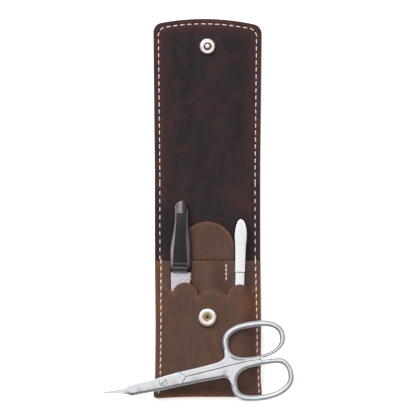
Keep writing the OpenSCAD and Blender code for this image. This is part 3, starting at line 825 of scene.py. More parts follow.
def make_divider():
    high = box_mm("divider_tab")[1]
    foot_y = mouth_y - 0.8
    tab = arc(TAB_X, high.y - TAB_R, TAB_R, 0, 180, 40)
    outline = case_outline(foot_y, path((TAB_X + TAB_R, foot_y), *tab, (TAB_X - TAB_R, foot_y)))
    rows = [*np.arange(fold_y + 1.6, mouth_y - 1.2, 1.6), *np.arange(mouth_y - 0.4, mouth_y + 2.4, 0.55),
            *np.arange(mouth_y + 3.2, high.y, 1.6)]
    flat, faces = cut_sheet(resample(outline, 1.2), grid_xs, rows)
    obj = mesh_object("divider_leather", np.column_stack([flat, np.full(len(flat), high.z)]), faces)
    thicken(obj, divider_t, 0.16)
    p = points_of(obj)
    wear_and_shade = 1 - smooth_step(distance_to(p[:, :2], [tab]) / 1.5)
    # Painted shade: a dark band on the tab just above the mouth, where the pocket's edge shades it. It goes
    # into the attribute as negative values; the tab's rubbed edge is real wear.
    mouth_shade_band = 0.9 * np.exp(-(((p[:, 1] - mouth_y - 0.2) / 0.75) ** 2))
    set_attribute(obj, "wear_and_shade", np.where(wear_and_shade > 0.05, wear_and_shade * 0.6, -mouth_shade_band))
    settle(obj, BROWN)
    hand_over(obj, "root", ["divider_tab"])


make_divider()

# %% [markdown]
# A stitch is a short run of thread that rises from one hole and dips into
# the next. It repeats hundreds of times, so Geometry Nodes lay it along each
# seam: the seam is cut into equal pitches, a small bent thread is put at each
# one, and the copies are made real at the end.


# %% Thread and stitches
def thread_parts(t, place):
    fibres = t.noise(place, 2600.0)
    colour = t.mix(fibres, linear(240, 224, 214), linear(255, 252, 248))
    stain = t.steps(t.noise(place, 260.0, 2.0, 0.5), 0.6, 0.85)
    return t.mix(stain, colour, linear(214, 180, 160)), 0.6, fibres


THREAD = new_material("waxed_thread", thread_parts, 0.06)
PITCH_FLAP, PITCH_POCKET = 3.38, 3.12
THREAD_R, THREAD_UP = 0.23, 0.1


def build_stitch_tree():
    """Stitches along a curve, from the sizes of one stitch and the way that faces out of the leather."""
    t, into, out = new_group(
        "stitches_along_a_seam",
        [("Seam", "Geometry"), ("Pitch", "Float", PITCH_FLAP * MM), ("Length", "Float", 2.2 * MM),
         ("Radius", "Float", THREAD_R * MM), ("Height", "Float", 0.3 * MM), ("Slant", "Float", 0.0),
         ("Up", "Vector", (0.0, 0.0, 1.0)), ("Seed", "Int", 0)],
        [("Stitches", "Geometry")], "GeometryNodeTree")
    seam, pitch, length, radius, height, slant, up, seed = into[:8]
    half, low = t.times(length, 0.5), t.times(height, -1.4)
    bow = t.get("GeometryNodeCurveQuadraticBezier", {
        "Resolution": 7, "Start": t.xyz(X=t.times(half, -1.0), Z=low),
        "Middle": t.xyz(Z=t.times(height, 1.5)), "End": t.xyz(X=half, Z=low)})
    ring = t.get("GeometryNodeCurvePrimitiveCircle", {"Resolution": 7, "Radius": radius})
    thread = t.get("GeometryNodeCurveToMesh", {"Curve": bow, "Profile Curve": ring, "Fill Caps": True})
    along = t.get("GeometryNodeResampleCurve", {"Curve": seam, "Length": pitch}, mode="LENGTH")
    tangent = t.get("GeometryNodeInputTangent")
    aligned = t.get("FunctionNodeAlignRotationToVector", {"Vector": tangent}, axis="X")
    upright = t.get("FunctionNodeAlignRotationToVector", {"Rotation": aligned, "Vector": up},
                    axis="Z", pivot_axis="X")
    wander = t.add("FunctionNodeRandomValue", {2: -0.06, 3: 0.06, "Seed": seed}, data_type="FLOAT")[1]
    lean = t.get("FunctionNodeEulerToRotation", {0: t.xyz(Z=t.plus(slant, wander))})
    rotation = t.get("FunctionNodeRotateRotation", {"Rotation": upright, "Rotate By": lean},
                     rotation_space="LOCAL")
    placed = {"Points": along, "Instance": thread, "Rotation": rotation}
    copies = t.get("GeometryNodeInstanceOnPoints", placed)
    real = t.get("GeometryNodeRealizeInstances", {"Geometry": copies})
    smooth = t.get("GeometryNodeSetShadeSmooth", {"Geometry": real})
    t.fill(out, {"Stitches": t.get("GeometryNodeSetMaterial", {"Geometry": smooth, "Material": THREAD})})
    return t.tree


STITCHES = build_stitch_tree()
SOCKET_IDS = {item.name: item.identifier for item in STITCHES.interface.items_tree if item.in_out == "INPUT"}


def stitch_row(points_mm, pitch, length, up=(0.0, 0.0, 1.0), slant=0.0, seed=0, radius=THREAD_R):
    """The stitches of one seam as a plain mesh."""
    curve = bpy.data.curves.new("seam", "CURVE")
    curve.dimensions = "3D"
    spline = curve.splines.new("POLY")
    spline.points.add(len(points_mm) - 1)
    for point, place in zip(spline.points, points_mm):
        point.co = (*[c * MM for c in place], 1)
    obj = add_object("seam", curve)
    modifier = obj.modifiers.new("stitches", "NODES")
    modifier.node_group = STITCHES
    run = sum((Vector(b) - Vector(a)).length for a, b in zip(points_mm, points_mm[1:]))
    even = run / max(1, round(run / pitch))
    for label, value in (("Pitch", even * MM), ("Length", length * MM), ("Radius", radius * MM),
                         ("Slant", slant), ("Up", up), ("Seed", seed)):
        modifier[SOCKET_IDS[label]] = value
    dg = bpy.context.evaluated_depsgraph_get()
    mesh = bpy.data.meshes.new_from_object(obj.evaluated_get(dg))
    bpy.data.objects.remove(obj)
    return mesh


def sew(name, body, rows):
    """One piece from the stitches of several seams."""
    made = bpy.data.meshes.new(name)
    with edited(made) as whole:
        for row in rows:
            whole.from_mesh(row)
    made.materials.append(THREAD)
    made.shade_smooth()
    hand_over(add_object(name, made), body)


def case_row(line, seed, under=False, length=2.35):
    """A row through the flat layers, swayed and leaned as the leather is, on its top or its underside."""
    z = SEAM_DIP - THREAD_UP * 0.3 if under else z_lining + THREAD_UP - SEAM_DIP
    places = lean_flap(sway([(p.x, p.y, z) for p in resample(line, 0.8, closed=False)]))
    return stitch_row(places, PITCH_FLAP, length, (0.0, 0.0, -1.0 if under else 1.0), seed=seed)


def pocket_row(i, seam):
    """A row through the pocket's front: its two side seams, then the two short ones of the channel."""
    flat = np.array([tuple(p) for p in resample(seam, 0.8, closed=False)])
    z = front_height(flat, np.zeros(len(flat), bool)) + THREAD_UP
    line = sway(np.column_stack([flat, z]))
    if i < 2:
        return stitch_row(line, PITCH_POCKET, 2.35, slant=-0.12, seed=9 + i, radius=0.24)
    return stitch_row(line, 2.07, 1.5, seed=9 + i, radius=0.3)


def back_rows():
    """The back shows its seams above the pocket's mouth, and underneath along their whole length."""
    for i, seam in enumerate(lower_seams):
        yield case_row(path((seam[1].x, mouth_y + 1.4), (seam[2].x, joint_cut_y - 1.6)), 3 + i)
        yield case_row(seam, 5 + i, under=True)


sew("flap_stitches", FLAP_FOLD, [case_row(flap_seam, 1, length=2.5), case_row(flap_seam, 2, under=True)])
sew("back_stitches", BACK_FOLD, back_rows())
sew("pocket_stitches", "root", [pocket_row(i, seam) for i, seam in enumerate(POCKET_SEAMS)])

# %% [markdown]
# Metal needs fine wear as well. Satin steel is brushed, so thin lines change
# its roughness, and nickel plate on the snap fastener is smoother. One group
# makes both: hair lines, small dents and the smudges that handling leaves.


# %% Metal finishes
def build_metal_group():
    t, into, out = new_group(
        "handled_metal",
        [("Vector", "Vector"), ("Base", "Color"), ("Tarnish", "Color"), ("Rough", "Float", 0.25),
         ("Hairlines", "Float", 0.1), ("Smudges", "Float", 0.1), ("Age", "Float", 0.2)], FINISH)
    place, base, tarnish, rough, hairlines, smudges, age = into[:7]
    hair = t.noise(place, 2400.0, 2.0)
    smudge = t.noise(place, 210.0, 4.0, distortion=0.4)
    old = t.times(t.steps(smudge, 0.45, 0.8), age)
    rough = t.plus(rough, t.times(t.math("SUBTRACT", hair, 0.5), hairlines))
    t.fill(out, {"Color": t.mix(old, base, tarnish),
                 "Roughness": t.plus(rough, t.times(smudge, smudges), True),
                 "Height": t.plus(hair, t.times(smudge, 0.5))})
    return t.tree


METAL = build_metal_group()


def metal_material(name, base, tarnish, rough, hairlines, smudges, age):
    def parts(t, place):
        inputs = {"Vector": place, "Base": linear(*base), "Tarnish": linear(*tarnish), "Rough": rough,
                  "Hairlines": hairlines, "Smudges": smudges, "Age": age}
        return t.add("ShaderNodeGroup", inputs, node_tree=METAL)[:3]
    return new_material(name, parts, 0.004, {"Metallic": 1.0})


STEEL = metal_material("satin_steel", (236, 238, 240), (202, 206, 210), 0.28, 0.12, 0.1, 0.5)
CHROME = metal_material("bright_chrome", (250, 250, 252), (232, 233, 238), 0.2, 0.05, 0.08, 0.3)
# A darker, rougher copy of the satin steel, used as painted shade on the steep walls of the scissors and in
# the screw's slot and chamfer
SHADED_SIDE_STEEL = metal_material("side_steel_painted_shade", (186, 189, 192), (158, 161, 164), 0.42, 0.15, 0.1, 0.6)
# Dark matt steel: the unpolished inner face of the tweezers' back strip, darkened to paint the shade of the
# front strip over it, and painted shade in the front strip's groove
SHADED_INNER_STEEL = metal_material("inner_steel_and_painted_shade", (84, 82, 84), (66, 64, 68), 0.35, 0.1, 0.1, 0.6)
NICKEL = metal_material("nickel_plate", (244, 232, 228), (220, 196, 184), 0.24, 0.06, 0.15, 0.7)
DARK_BRASS = metal_material("brass_in_shadow", (84, 62, 46), (44, 34, 28), 0.4, 0.1, 0.1, 0.9)
BRASS = metal_material("brass", (206, 178, 130), (150, 118, 74), 0.3, 0.08, 0.15, 0.7)
print("metal finishes made")

# %% [markdown]
# The snap fastener is turned on a lathe, so each of its parts is a profile
# spun round an axis. The corners of the profile are rounded before the spin,
# because stamped metal has no sharp edge and the rounding is what glints.


# %% Snap fastener
def rounded(profile, radius):
    """A profile whose corners are rounded by short arcs."""
    profile = path(*profile)
    made = profile[:1]
    for before, p, after in zip(profile, profile[1:], profile[2:]):
        a, b = before - p, after - p
        reach = min(radius, a.length * 0.45, b.length * 0.45)
        start, end = p + a.normalized() * reach, p + b.normalized() * reach
        made += [start.lerp(p, s).lerp(p.lerp(end, s), s) for s in np.linspace(0, 1, 4)]
    return made + profile[-1:]


def turned(name, profile, centre, lean=0.0, steps=72):
    """A part spun round a vertical axis at centre. A profile that starts on the axis also ends there."""
    points, rings = [], []
    for r, z in profile:
        count = 1 if r < 1e-6 else steps
        rings.append([len(points) + i % count for i in range(steps)])
        points += [(r * math.cos(a), r * math.sin(a), z) for a in np.arange(count) * 2 * math.pi / steps]
    if profile[0][0] > 1e-6:
        rings.append(rings[0])
    faces = []
    for low, high in zip(rings, rings[1:]):
        for i in range(steps):
            k = (i + 1) % steps
            corners = [low[i], low[k], high[k], high[i]]
            faces.append([c for n, c in enumerate(corners) if c != corners[n - 1]])
    obj = mesh_object(name, points, [f for f in faces if len(f) > 2], solid=True)
    turn = Matrix.Rotation(lean, 4, "X")
    turn.translation = Vector(centre) * MM
    obj.data.transform(turn)
    return obj


def ready(obj, material, node, body, smooth_deg=40, second=None):
    """Finishes a piece that stands for one measured part and moves with one body.
    second is another material and a test of a face's centre and normal that says where it goes."""
    finish_mesh(obj, (material, second[0]) if second else (material,), smooth_deg)
    if second:
        for face in obj.data.polygons:
            face.material_index = int(second[1](Vector(face.center) / MM, face.normal))
    hand_over(obj, body, [node])


socket_low, socket_high = box_mm("snap_socket")
socket_y = (socket_low.y + socket_high.y) / 2
stud_y = spine_y0 + spine_y1 - socket_y
stud_r, cap_r = box_mm("snap_stud")[1].x, box_mm("snap_cap")[1].x
CAP_H, CAP_RIM = 1.4, 0.35


def on_lean(z):
    """Centre of the stud's axis on the leaning flap, at a height."""
    return lean_flap([(0.0, stud_y, z)])[0]


def make_snap():
    r, h = socket_high.x, socket_high.z - z_front
    base = (0, socket_y, z_front)
    socket = rounded([(1.6, 0.0), (r - 0.45, 0.0), (r, 0.5), (r, h - 0.8), (r - 0.5, h - 0.15),
                      (r - 1.15, h), (2.55, h), (2.35, h - 0.12), (2.05, h - 0.14), (2.05, h - 0.5),
                      (2.6, h - 0.5), (2.6, h - 1.1), (2.05, h - 1.1), (2.05, 0.45), (1.6, 0.45),
                      (1.6, 0.0)], 0.14)[:-1]
    ready(turned("snap_socket_plate", socket, base), NICKEL, "snap_socket", "root")
    spring = rounded([(1.25, 0.02), (2.55, 0.02), (2.55, 0.55), (2.0, 0.55), (2.0, 0.9), (1.62, 0.86),
                      (1.25, 0.35), (1.25, 0.02)], 0.1)[:-1]
    ring = turned("snap_spring_ring", spring, (0, socket_y, z_front + h - 1.1))
    ready(ring, BRASS, "snap_spring", "root")
    flange_r = r - 0.25
    eyelet = rounded([(0.0, -leather_t), (flange_r, -leather_t), (flange_r, 0.5 - leather_t),
                      (1.5, 0.5 - leather_t), (1.5, 0.5), (1.9, 0.5), (1.8, h - 1.2), (0.82, h - 1.2),
                      (0.82, -0.4), (0.0, -0.4)], 0.1)
    bore = (DARK_BRASS, lambda c, n: math.hypot(c.x, c.y - socket_y) < 0.86 and c.z < z_front + h - 1.25)
    ready(turned("snap_eyelet_tube", eyelet, base), BRASS, "snap_eyelet", "root", second=bore)
    s, top = stud_r, 1.45
    post_top = top + h - 0.8
    stud = rounded([(0.0, 0.0), (s - 0.45, 0.0), (s, 0.35), (s, 0.8), (s - 0.35, top - 0.25), (s - 0.75, top),
                    (s - 1.1, top - 0.1), (s - 1.35, top), (s - 1.75, top), (1.65, top - 0.35), (1.65, 0.6),
                    (0.95, 0.6), (0.95, post_top - 0.75), (1.15, post_top - 0.45), (0.95, post_top - 0.08),
                    (0.5, post_top), (0.0, post_top)], 0.14)
    centre = on_lean(z_lining)
    well = (DARK_BRASS, lambda c, n: 1.12 < math.hypot(c.x, c.y - centre[1]) < 1.68)
    plate = turned("snap_stud_plate", stud, centre, flap_lean)
    ready(plate, NICKEL, "snap_stud", "flap", second=well)
    dome = path(*[(cap_r * math.sin(a), -CAP_RIM - (CAP_H - CAP_RIM) * math.cos(a))
                  for a in np.linspace(math.pi / 2, 0, 12)])
    cap = rounded([(0.0, z_lining), (1.2, z_lining), (1.2, 0.0), (cap_r, 0.0)], 0.1) + dome
    ready(turned("snap_cap_dome", cap, on_lean(0.0), flap_lean), NICKEL, "snap_cap", "flap")


make_snap()

# %% [markdown]
# The tools are long shapes whose section changes along them. A loft puts a
# ring of points at each station and joins the rings, which suits a handle
# that swells and narrows or a tweezer arm that tapers to its tip.


# %% Lofted tools
def loft(name, rings):
    """A closed mesh through rings of points, each with the same count, with flat ends."""
    count = len(rings[0])
    last = (len(rings) - 1) * count
    faces = [[i + j, i + (j + 1) % count, i + count + (j + 1) % count, i + count + j]
             for i in range(0, last, count) for j in range(count)]
    faces += [list(range(count)), list(range(last, last + count))]
    return mesh_object(name, [p for ring in rings for p in ring], faces, solid=True)


def lay_along(obj, place, lean_deg):
    """Puts a tool, modelled along Y from its own origin, at its place and lean."""
    turn = Matrix.Rotation(-math.radians(lean_deg), 4, "Z")
    obj.data.transform(Matrix.Translation(Vector(place) * MM) @ turn)


def cut_with(obj, cutters):
    """Cuts shapes out of a piece and removes them."""
    for cutter in cutters:
        modifier = obj.modifiers.new("cut", "BOOLEAN")
        modifier.object, modifier.solver = cutter, "EXACT"
    apply_modifiers(obj)
    for cutter in cutters:
        bpy.data.objects.remove(cutter)


def box_cutter(low, high):
    points = [(x, y, z) for x in (low[0], high[0]) for y in (low[1], high[1]) for z in (low[2], high[2])]
    faces = [(0, 1, 3, 2), (4, 6, 7, 5), (0, 4, 5, 1), (2, 3, 7, 6), (0, 2, 6, 4), (1, 5, 7, 3)]
    return mesh_object("cutter", points, faces)


def notch_cutter(half, y, top, wide, deep):
    """A V-shaped bar across a piece. The cut's slanted walls mirror the dark front of the room."""
    ring = [(y - wide, top + wide), (y - wide / 2, top), (y, top - deep), (y + wide / 2, top),
            (y + wide, top + wide)]
    return loft("cutter", [[(x, a, b) for a, b in ring] for x in (-half, half)])


FILE_LEAN = 1.1
file_x, file_y, file_z = 12.48 - case_half, mouth_y - 5.45, box_mm("file_handle")[0].z
HANDLE_LEN, HANDLE_T, HANDLE_W, NECK_W, HANDLE_ROUND = 34.2, 3.2, 10.1, 6.6, 3.5
SCOOP_R = 3.1
# Stretches of the handle's lower end where the top gets a painted grey highlight, beside its two grooves
BANDS = [(0.2, 0.7), (1.75, 2.65), (3.95, 4.45)]


def plastic_parts(t, place):
    """Black moulded plastic, painted a mauve grey as a highlight where the attribute 'shoulder' marks it."""
    shoulder = t.add("ShaderNodeAttribute", attribute_name="shoulder")["Fac"]
    speckle = t.noise(place, 1900.0, 2.0)
    black = t.mix(speckle, linear(24, 23, 26), linear(42, 40, 44))
    grey = t.mix(t.noise(place, 300.0, 3.0, 0.5), linear(128, 116, 124), linear(166, 153, 161))
    return t.mix(shoulder, black, grey), t.plus(0.28, t.times(speckle, 0.12)), speckle


PLASTIC = new_material("black_moulded_plastic", plastic_parts, 0.012, {"Specular IOR Level": 0.22})


def handle_top(s):
    return HANDLE_T - (HANDLE_T - 1.5) * smooth_step((s - 20) / (HANDLE_LEN - 20))


def handle_ring(s):
    """A section of the handle: flat base, upright sides, bevelled shoulders. The right one leans more."""
    w = HANDLE_W / 2 + (NECK_W - HANDLE_W) / 2 * smooth_step((s - 9.5) / 17)
    past = max(0.0, s - (HANDLE_LEN - HANDLE_ROUND)) / HANDLE_ROUND
    w *= math.sqrt(max(0.02, 1 - past * past))
    t = handle_top(s)
    b = min(max(0.5, w - 3.45 + 0.95 * smooth_step((s - 4) / 20)), 0.6 * w)
    k = min(0.5, 0.3 * w)
    right = [(w - k, 0), (w, k), (w - 0.62 * b, 0.62 * t), (w - b - 0.22 * b, t)]
    left = [(-w + b - 0.22 * b, t), (-w + 0.1 * b, 0.5 * t), (-w, k), (-w + k, 0)]
    return [(x, s, z) for x, z in right + left]


def shoulder_mark(place, normal):
    """How much painted grey highlight a face of the handle gets: its lit shoulders, its bands and the lit
    side of the scoop.
    """
    x, s, z = place
    if normal.z > 0.9 and any(a < s < b for a, b in BANDS):
        return 0.32
    # Painted light in the scoop: its left wall is grey as if lit, and its right wall stays black as if in
    # shade
    if s > HANDLE_LEN - 6.2 and (x * normal.x < 0 or abs(x) < 0.3):
        return 1.0 if x < -0.1 and s < HANDLE_LEN - 0.8 else 0.0
    # The shoulders get the painted highlight, more of it on the left, which faces the light
    if abs(normal.x) < 0.3 or normal.z < (0.15 if x < 0 else 0.4):
        return 0.0
    if normal.x > 0 and (z < 0.6 * handle_top(s) or s > HANDLE_LEN - 4):
        return 0.0
    return smooth_step((s - 1.0) / 4)


def mark_shoulders(obj):
    """The attribute that tells the places of the handle with a painted highlight from its black ones."""
    total, count = np.zeros((2, len(obj.data.vertices)))
    for face in obj.data.polygons:
        mark = shoulder_mark(Vector(face.center) / MM, face.normal)
        for v in face.vertices:
            total[v] += mark * face.area
            count[v] += face.area
    set_attribute(obj, "shoulder", total / np.maximum(count, 1e-12))


def make_handle():
    even = np.arange(0, HANDLE_LEN - HANDLE_ROUND, 0.7).round(2)
    stations = sorted({*even, *(s for band in BANDS for s in band)})
    stations += [HANDLE_LEN - HANDLE_ROUND * math.cos(math.radians(a)) for a in np.linspace(0, 90, 16)]
    obj = loft("file_handle_moulded", [handle_ring(s) for s in stations])
    grooves = [box_cutter((-9, s - 0.2, HANDLE_T - 0.4), (9, s + 0.2, HANDLE_T + 1)) for s in (1.2, 3.3)]
    angles = np.linspace(0, 2 * math.pi, 41)[:-1]
    scoop = loft("cutter", [[(SCOOP_R * math.cos(a), s, 3.85 + SCOOP_R * math.sin(a)) for a in angles]
                            for s in (HANDLE_LEN + 1.5, HANDLE_LEN - 5.9)])
    cut_with(obj, [*grooves, scoop, box_cutter((-3.2, -1, 1.08), (3.2, 16.02, 2.12))])
    bevel = obj.modifiers.new("soften", "BEVEL")
    bevel.width, bevel.segments, bevel.angle_limit = 0.11 * MM, 2, math.radians(28)
    apply_modifiers(obj)
    mark_shoulders(obj)
    lay_along(obj, (file_x, file_y, file_z), FILE_LEAN)
    ready(obj, PLASTIC, "file_handle", "file", 30)


make_handle()

# %% [markdown]
# The file's blade is a flat steel strip coated with grit. The grit is a fine
# grey sparkle, far smaller than anything worth modelling, so it is a noise in
# the colour and the bump. The flat edge round the strip is real geometry.


# %% File blade
def grit_parts(t, place):
    grains = t.get("ShaderNodeTexVoronoi", {"Vector": place, "Scale": 4200.0})
    tone = t.noise(place, 900.0)
    colour = t.mix(grains, linear(236, 228, 236), linear(180, 172, 180))
    colour = t.mix(t.steps(tone, 0.4, 0.75), colour, linear(190, 181, 190))
    return colour, t.plus(0.4, t.times(tone, 0.25)), grains


GRIT = new_material("file_grit", grit_parts, 0.05, {"Metallic": 0.35})
BLADE_W, BLADE_END_W, BLADE_T, FILE_LEN = 9.4, 5.2, 1.0, 85.0


def flat_bar(name, stations, half_of, t, crown=0.12, shift_of=lambda s: 0.0, round_mm=0.3):
    """A flat bar along -Y with rounded edges and a slightly crowned top."""
    rings = []
    for s in stations:
        w, dx = max(half_of(s), 0.02), shift_of(s)
        r = min(round_mm, 0.45 * w)
        half = [(-w, 0.0), (-w, t - r), (-w + 0.3 * r, t - 0.3 * r), (-w + r, t)]
        half += [(-w * k + r * k, t + crown * (1 - k * k)) for k in (0.6, 0.2)]
        rings.append([(x + dx, -s, z) for x, z in half + [(-x, z) for x, z in reversed(half)]])
    return loft(name, rings)


def make_file_blade():
    reach, end_r = FILE_LEN - HANDLE_LEN, BLADE_END_W / 2

    def half(s):
        if s < 0:
            return BLADE_W / 2 - 1.5
        if s > reach - end_r:
            return math.sqrt(max(0.0, end_r ** 2 - (s - reach + end_r) ** 2))
        return BLADE_W / 2 + (end_r - BLADE_W / 2) * s / (reach - end_r)
    stations = [-16, -8, -0.02, 0.02, *np.linspace(4, reach - end_r, 10)]
    stations += [reach - end_r + end_r * math.sin(math.radians(a)) for a in np.linspace(10, 90, 10)]
    obj = flat_bar("file_blade_strip", stations, half, BLADE_T, 0.0, round_mm=0.12)
    lay_along(obj, (file_x, file_y, file_z + (HANDLE_T - BLADE_T) / 2), FILE_LEAN)
    ready(obj, GRIT, "file_blade", "file", 30)


make_file_blade()

# %% [markdown]
# The tweezers are two thin strips of chromed steel, welded at one end. The
# head is pointed like an arch, and a fine groove crosses the front strip
# where the grip ends. The back strip lies a little to the left and shows.

# %% Tweezers
TWEEZERS_LEAN = 1.2
tweezers_x, tweezers_y, tweezers_z = case_half - 9.2, mouth_y + 19.9, box_mm("tweezers_weld")[0].z
TWEEZERS_LEN, WELD_LEN, HEAD_LEN, GRIP_LEN = 75.0, 12.0, 8.0, 25.0
TWEEZERS_W, ARM_W, TIP_W, ARM_T, TIP_GAP = 5.86, 4.4, 2.0, 0.8, 1.0
HEAD_STATIONS = [0.03, 0.12, 0.3, 0.6, 1.0, 1.6, 2.4, 3.4, 4.6, 6.0, 7.0, HEAD_LEN, 10.0, WELD_LEN]
ARM_STATIONS = [WELD_LEN + 0.05, 14, 17, 18, 19.5, 21, 23, GRIP_LEN - 0.1, GRIP_LEN, GRIP_LEN + 0.2,
                GRIP_LEN + 0.4, 28, 32, 35, 40, 46, 52, 58, 64, 70, 73, 74.4, TWEEZERS_LEN]


def arm_half(s):
    if s < HEAD_LEN:
        return TWEEZERS_W / 2 * math.sqrt(max(0.0, 1 - ((HEAD_LEN - s) / HEAD_LEN) ** 2))
    if s < GRIP_LEN:
        return TWEEZERS_W / 2 - 0.3 * smooth_step((s - 8) / 7) - 0.25 * (s - 8) / 17
    if s < GRIP_LEN + 0.35:
        return ARM_W / 2 + 0.65 * (GRIP_LEN + 0.35 - s)
    return ARM_W / 2 + (TIP_W - ARM_W) / 2 * max(0.0, s - 35) / (TWEEZERS_LEN - 35)


def arm_bow(s):
    """How far the back strip stands out to the left: below the grip it does, and its tip is back in line."""
    return -1.4 * smooth_step((s - 18) / 18) * (1 - smooth_step((s - 45) / 28))


def make_tweezers():
    place = (tweezers_x, tweezers_y, tweezers_z)
    rear = flat_bar("tweezers_back_strip", HEAD_STATIONS + ARM_STATIONS, arm_half, ARM_T, 0.0, arm_bow)
    lay_along(rear, (tweezers_x, tweezers_y, tweezers_z - ARM_T), TWEEZERS_LEAN)
    # The back strip's top takes the dark steel, partly its matt inner face and partly painted shade under the
    # front strip; its walls stay bright chrome
    rim = (CHROME, lambda c, n: abs(n.z) < 0.9)
    ready(rear, SHADED_INNER_STEEL, "tweezers_rear_arm", "tweezers", 30, second=rim)
    weld = flat_bar("tweezers_head", HEAD_STATIONS, arm_half, ARM_T)
    lay_along(weld, place, TWEEZERS_LEAN)
    ready(weld, CHROME, "tweezers_weld", "tweezers", 30)
    arm = flat_bar("tweezers_front_strip", ARM_STATIONS, arm_half, ARM_T)
    cut_with(arm, [notch_cutter(4, -GRIP_LEN - 0.3, ARM_T + 0.1, 0.36, 0.45)])
    hinge = Matrix.Translation((0, -WELD_LEN * MM, 0))
    spread = math.atan(TIP_GAP / (TWEEZERS_LEN - WELD_LEN))
    arm.data.transform(hinge @ Matrix.Rotation(-spread, 4, "X") @ hinge.inverted())
    lay_along(arm, place, TWEEZERS_LEAN)
    a = math.radians(TWEEZERS_LEAN)

    # The slanted walls of the groove take the dark steel as painted shade
    def in_groove(c, n):
        along = (tweezers_y - c.y) * math.cos(a) - (c.x - tweezers_x) * math.sin(a)
        return abs(along - GRIP_LEN - 0.3) < 0.3 and 0.1 < n.z < 0.93
    ready(arm, CHROME, "tweezers_front_arm", "tweezers_arm", 30, second=(SHADED_INNER_STEEL, in_groove))


make_tweezers()

# %% [markdown]
# Each half of the scissors is one forging, ground and polished by hand, so
# no edge is sharp except the cutting one. The measured half already has the
# right form. A copy of it is remeshed into fine even faces and relaxed, which
# rounds every edge a little and runs the bow into the shank as a fillet does.
# The outer edges are then ground down further, where the real pair is.

# %% Scissors
SCISSORS_LEAN = math.radians(12.5)
pivot = next(Vector(joint["pos_m"]) / MM for joint in frame["joints"] if joint["name"] == "scissors_open")
scissors_low, scissors_high = box_mm("scissors_top_half")
BOX_X, BOX_Y, BOX_SLOPE = 11.1, 0.25, 0.9
VOXEL = 0.15
TIP_LOSS = 1.3  # how much the remeshing shortens the thin points
# Width and depth of the bevel on blade and shank, and of the one on the bows
EDGE_BEVEL, BOW_BEVEL = (1.3, 0.95), (1.0, 0.72)
SHADE_SIDE = Vector((0.3, -0.95)).normalized()
SEAM = [(-30, 0.25), (BOX_X, 0.25), (24, 0.45), (34, 0.9), (42, 1.0), (47, 0.75), (52, 0.1), (56, -0.6)]
BRANCH = [Vector((BOX_X, BOX_Y)), Vector((BOX_X - BOX_SLOPE * 2.6, BOX_Y + 2.6))]


def local_frame(p):
    """Points in the scissors' own frame: along the seam, across it, and up from their middle."""
    d = p - np.array(pivot)
    c, s = math.cos(SCISSORS_LEAN), math.sin(SCISSORS_LEAN)
    return d[:, 0] * c + d[:, 1] * s, -d[:, 0] * s + d[:, 1] * c, d[:, 2]


def off_branch(u, v):
    """Distance from the joint line that branches off the seam."""
    return distance_to(np.column_stack([u, v]), [BRANCH])


def polished_copy(name, node):
    """A remeshed and relaxed copy of a measured part."""
    obj = add_object(name, frame["nodes"][node].data.copy())
    with edited(obj.data) as shell:
        bmesh.ops.remove_doubles(shell, verts=shell.verts, dist=2e-6)
    obj.data.materials.clear()
    remesh = obj.modifiers.new("remesh", "REMESH")
    remesh.mode, remesh.voxel_size = "VOXEL", VOXEL * MM
    relax = obj.modifiers.new("relax", "SMOOTH")
    relax.factor, relax.iterations = 0.5, 5
    apply_modifiers(obj)
    return obj


def nearest_wall(p, normals, u, v):
    """For each point, how far the nearest outer wall is, and how much that wall faces the shaded side."""
    off_seam = np.abs(v - np.interp(u, *zip(*SEAM)))
    wall = (np.abs(normals[:, 2]) < 0.4) & ((off_seam > 0.9) | (u > 52))
    wall &= (np.abs(u - (BOX_X - BOX_SLOPE * np.abs(v - BOX_Y))) > 0.55) | (u > 20)
    found = np.flatnonzero(wall)[::3]
    tree = plane_tree(p[found])
    hits = [tree.find((x, y, 0)) for x, y in p[:, :2]]
    facing = normals[found[[hit[1] for hit in hits]]][:, :2] @ np.array(SHADE_SIDE)
    return np.array([hit[2] for hit in hits]), facing


def slope(near, bevel):
    """How far a bevel, given as width and depth, takes the surface down."""
    return bevel[1] * np.clip(1 - near / bevel[0], 0, 1)


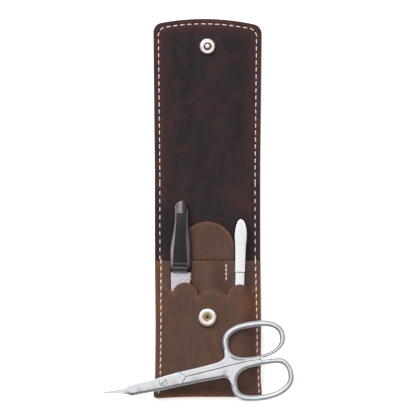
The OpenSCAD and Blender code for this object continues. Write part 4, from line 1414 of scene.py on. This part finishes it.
def grind_edges(obj, top):
    """Bevels the outer edges of blade and shank that face the front of the case. The bow's round wire gets
    the fuller section of a bar, the point a flat face, and outlines that the remeshing drew in come back."""
    p = points_of(obj)
    u, v, w = local_frame(p)
    near, facing = nearest_wall(p, values_of(obj, "normal"), u, v)
    on_bow = smooth_step((u - 28) / 5)
    drop = slope(near, EDGE_BEVEL) * smooth_step((facing - 0.1) / 0.5) * (1 - on_bow)
    drop *= smooth_step((u + 20) / 5)
    point_top = np.abs(w[u < -18]).max()
    full = w.max() - 0.2 - slope(near, BOW_BEVEL)
    flat = point_top - slope(near, (0.15, 0.12))
    lift = np.clip(full - np.abs(w), 0, None) * on_bow
    lift += np.clip(flat - np.abs(w), 0, None) * smooth_step((-17.5 - u) / 3)
    p[:, 2] += np.sign(w) * (lift * (np.abs(w) > 0.05) - np.minimum(drop, np.abs(w) * 0.8))
    p[:, 2] = np.where((u < -19) & (w > 0.6), pivot.z + point_top, p[:, 2])
    p[:, 2] -= 0.14 * np.exp(-((off_branch(u, v) / 0.13) ** 2)) * (w > 0.8)
    pull = np.exp(-((u - 56) ** 2 + (v + 2.5) ** 2) / 20) * (v < 0)
    du = 1.1 * pull - TIP_LOSS * np.clip((-17 - u) / 10, 0, 1) ** 1.4
    dv = 0.4 * pull + 0.45 * smooth_step((u - 34) / 5) * smooth_step((-v - 0.3) / 2)
    if top:
        rise = np.interp(u, (-30, -25, -20, -16, -8, 0), (0.2, 0.4, 0.45, 0.75, 0.5, 0.0))
        du, dv = np.minimum(du, 0), rise * (facing < 0)
    dv = dv + 0.4 * smooth_step((-18 - u) / 5)
    p[:, 0] += du * math.cos(SCISSORS_LEAN) - dv * math.sin(SCISSORS_LEAN)
    p[:, 1] += du * math.sin(SCISSORS_LEAN) + dv * math.cos(SCISSORS_LEAN)
    place_points(obj, p)


def shaded_walls_and_joint_line(c, n):
    """The walls of a forging, which get painted shade, and the faint joint line on the upper side of the box
    joint.
    """
    u, v, w = local_frame(np.array([c]))
    line = w[0] > 0.7 and off_branch(u, v)[0] < 0.1
    return line or abs(n.z) < (0.97 if n.y > 0.12 else 0.72)


def make_scissors():
    for part, body in (("top", "scissors"), ("under", "scissors_under")):
        node = f"scissors_{part}_half"
        obj = polished_copy(f"scissors_{part}_forging", node)
        grind_edges(obj, part == "top")
        obj.modifiers.new("lighten", "DECIMATE").ratio = 0.45
        # The forging's walls take the darker steel as painted shade, and the joint line takes it as a dark
        # line
        ready(obj, STEEL, node, body, 50, second=(SHADED_SIDE_STEEL, shaded_walls_and_joint_line))
    z = scissors_high.z
    screw_low, screw_high = box_mm("scissors_screw")
    r = (screw_high.x - screw_low.x) / 2
    head = rounded([(0.0, scissors_low.z), (1.14, scissors_low.z), (1.14, z), (r, z), (r - 0.06, z + 0.06),
                    (r - 0.3, z + 0.34), (0.0, z + 0.35)], 0.05)
    screw = turned("scissors_pivot_screw", head, (pivot.x, pivot.y, 0))
    notch = notch_cutter(3, 0.0, z + 0.36, 0.5, 0.32)
    across = Matrix.Rotation(SCISSORS_LEAN + math.radians(30), 4, "Z")
    notch.data.transform(Matrix.Translation((pivot.x * MM, pivot.y * MM, 0)) @ across)
    cut_with(screw, [notch])
    # The screw's chamfer and slot take the darker steel as painted shade
    ready(screw, STEEL, "scissors_screw", "scissors", 30,
          second=(SHADED_SIDE_STEEL, lambda c, n: n.z < 0.9 and c.z > z))


make_scissors()
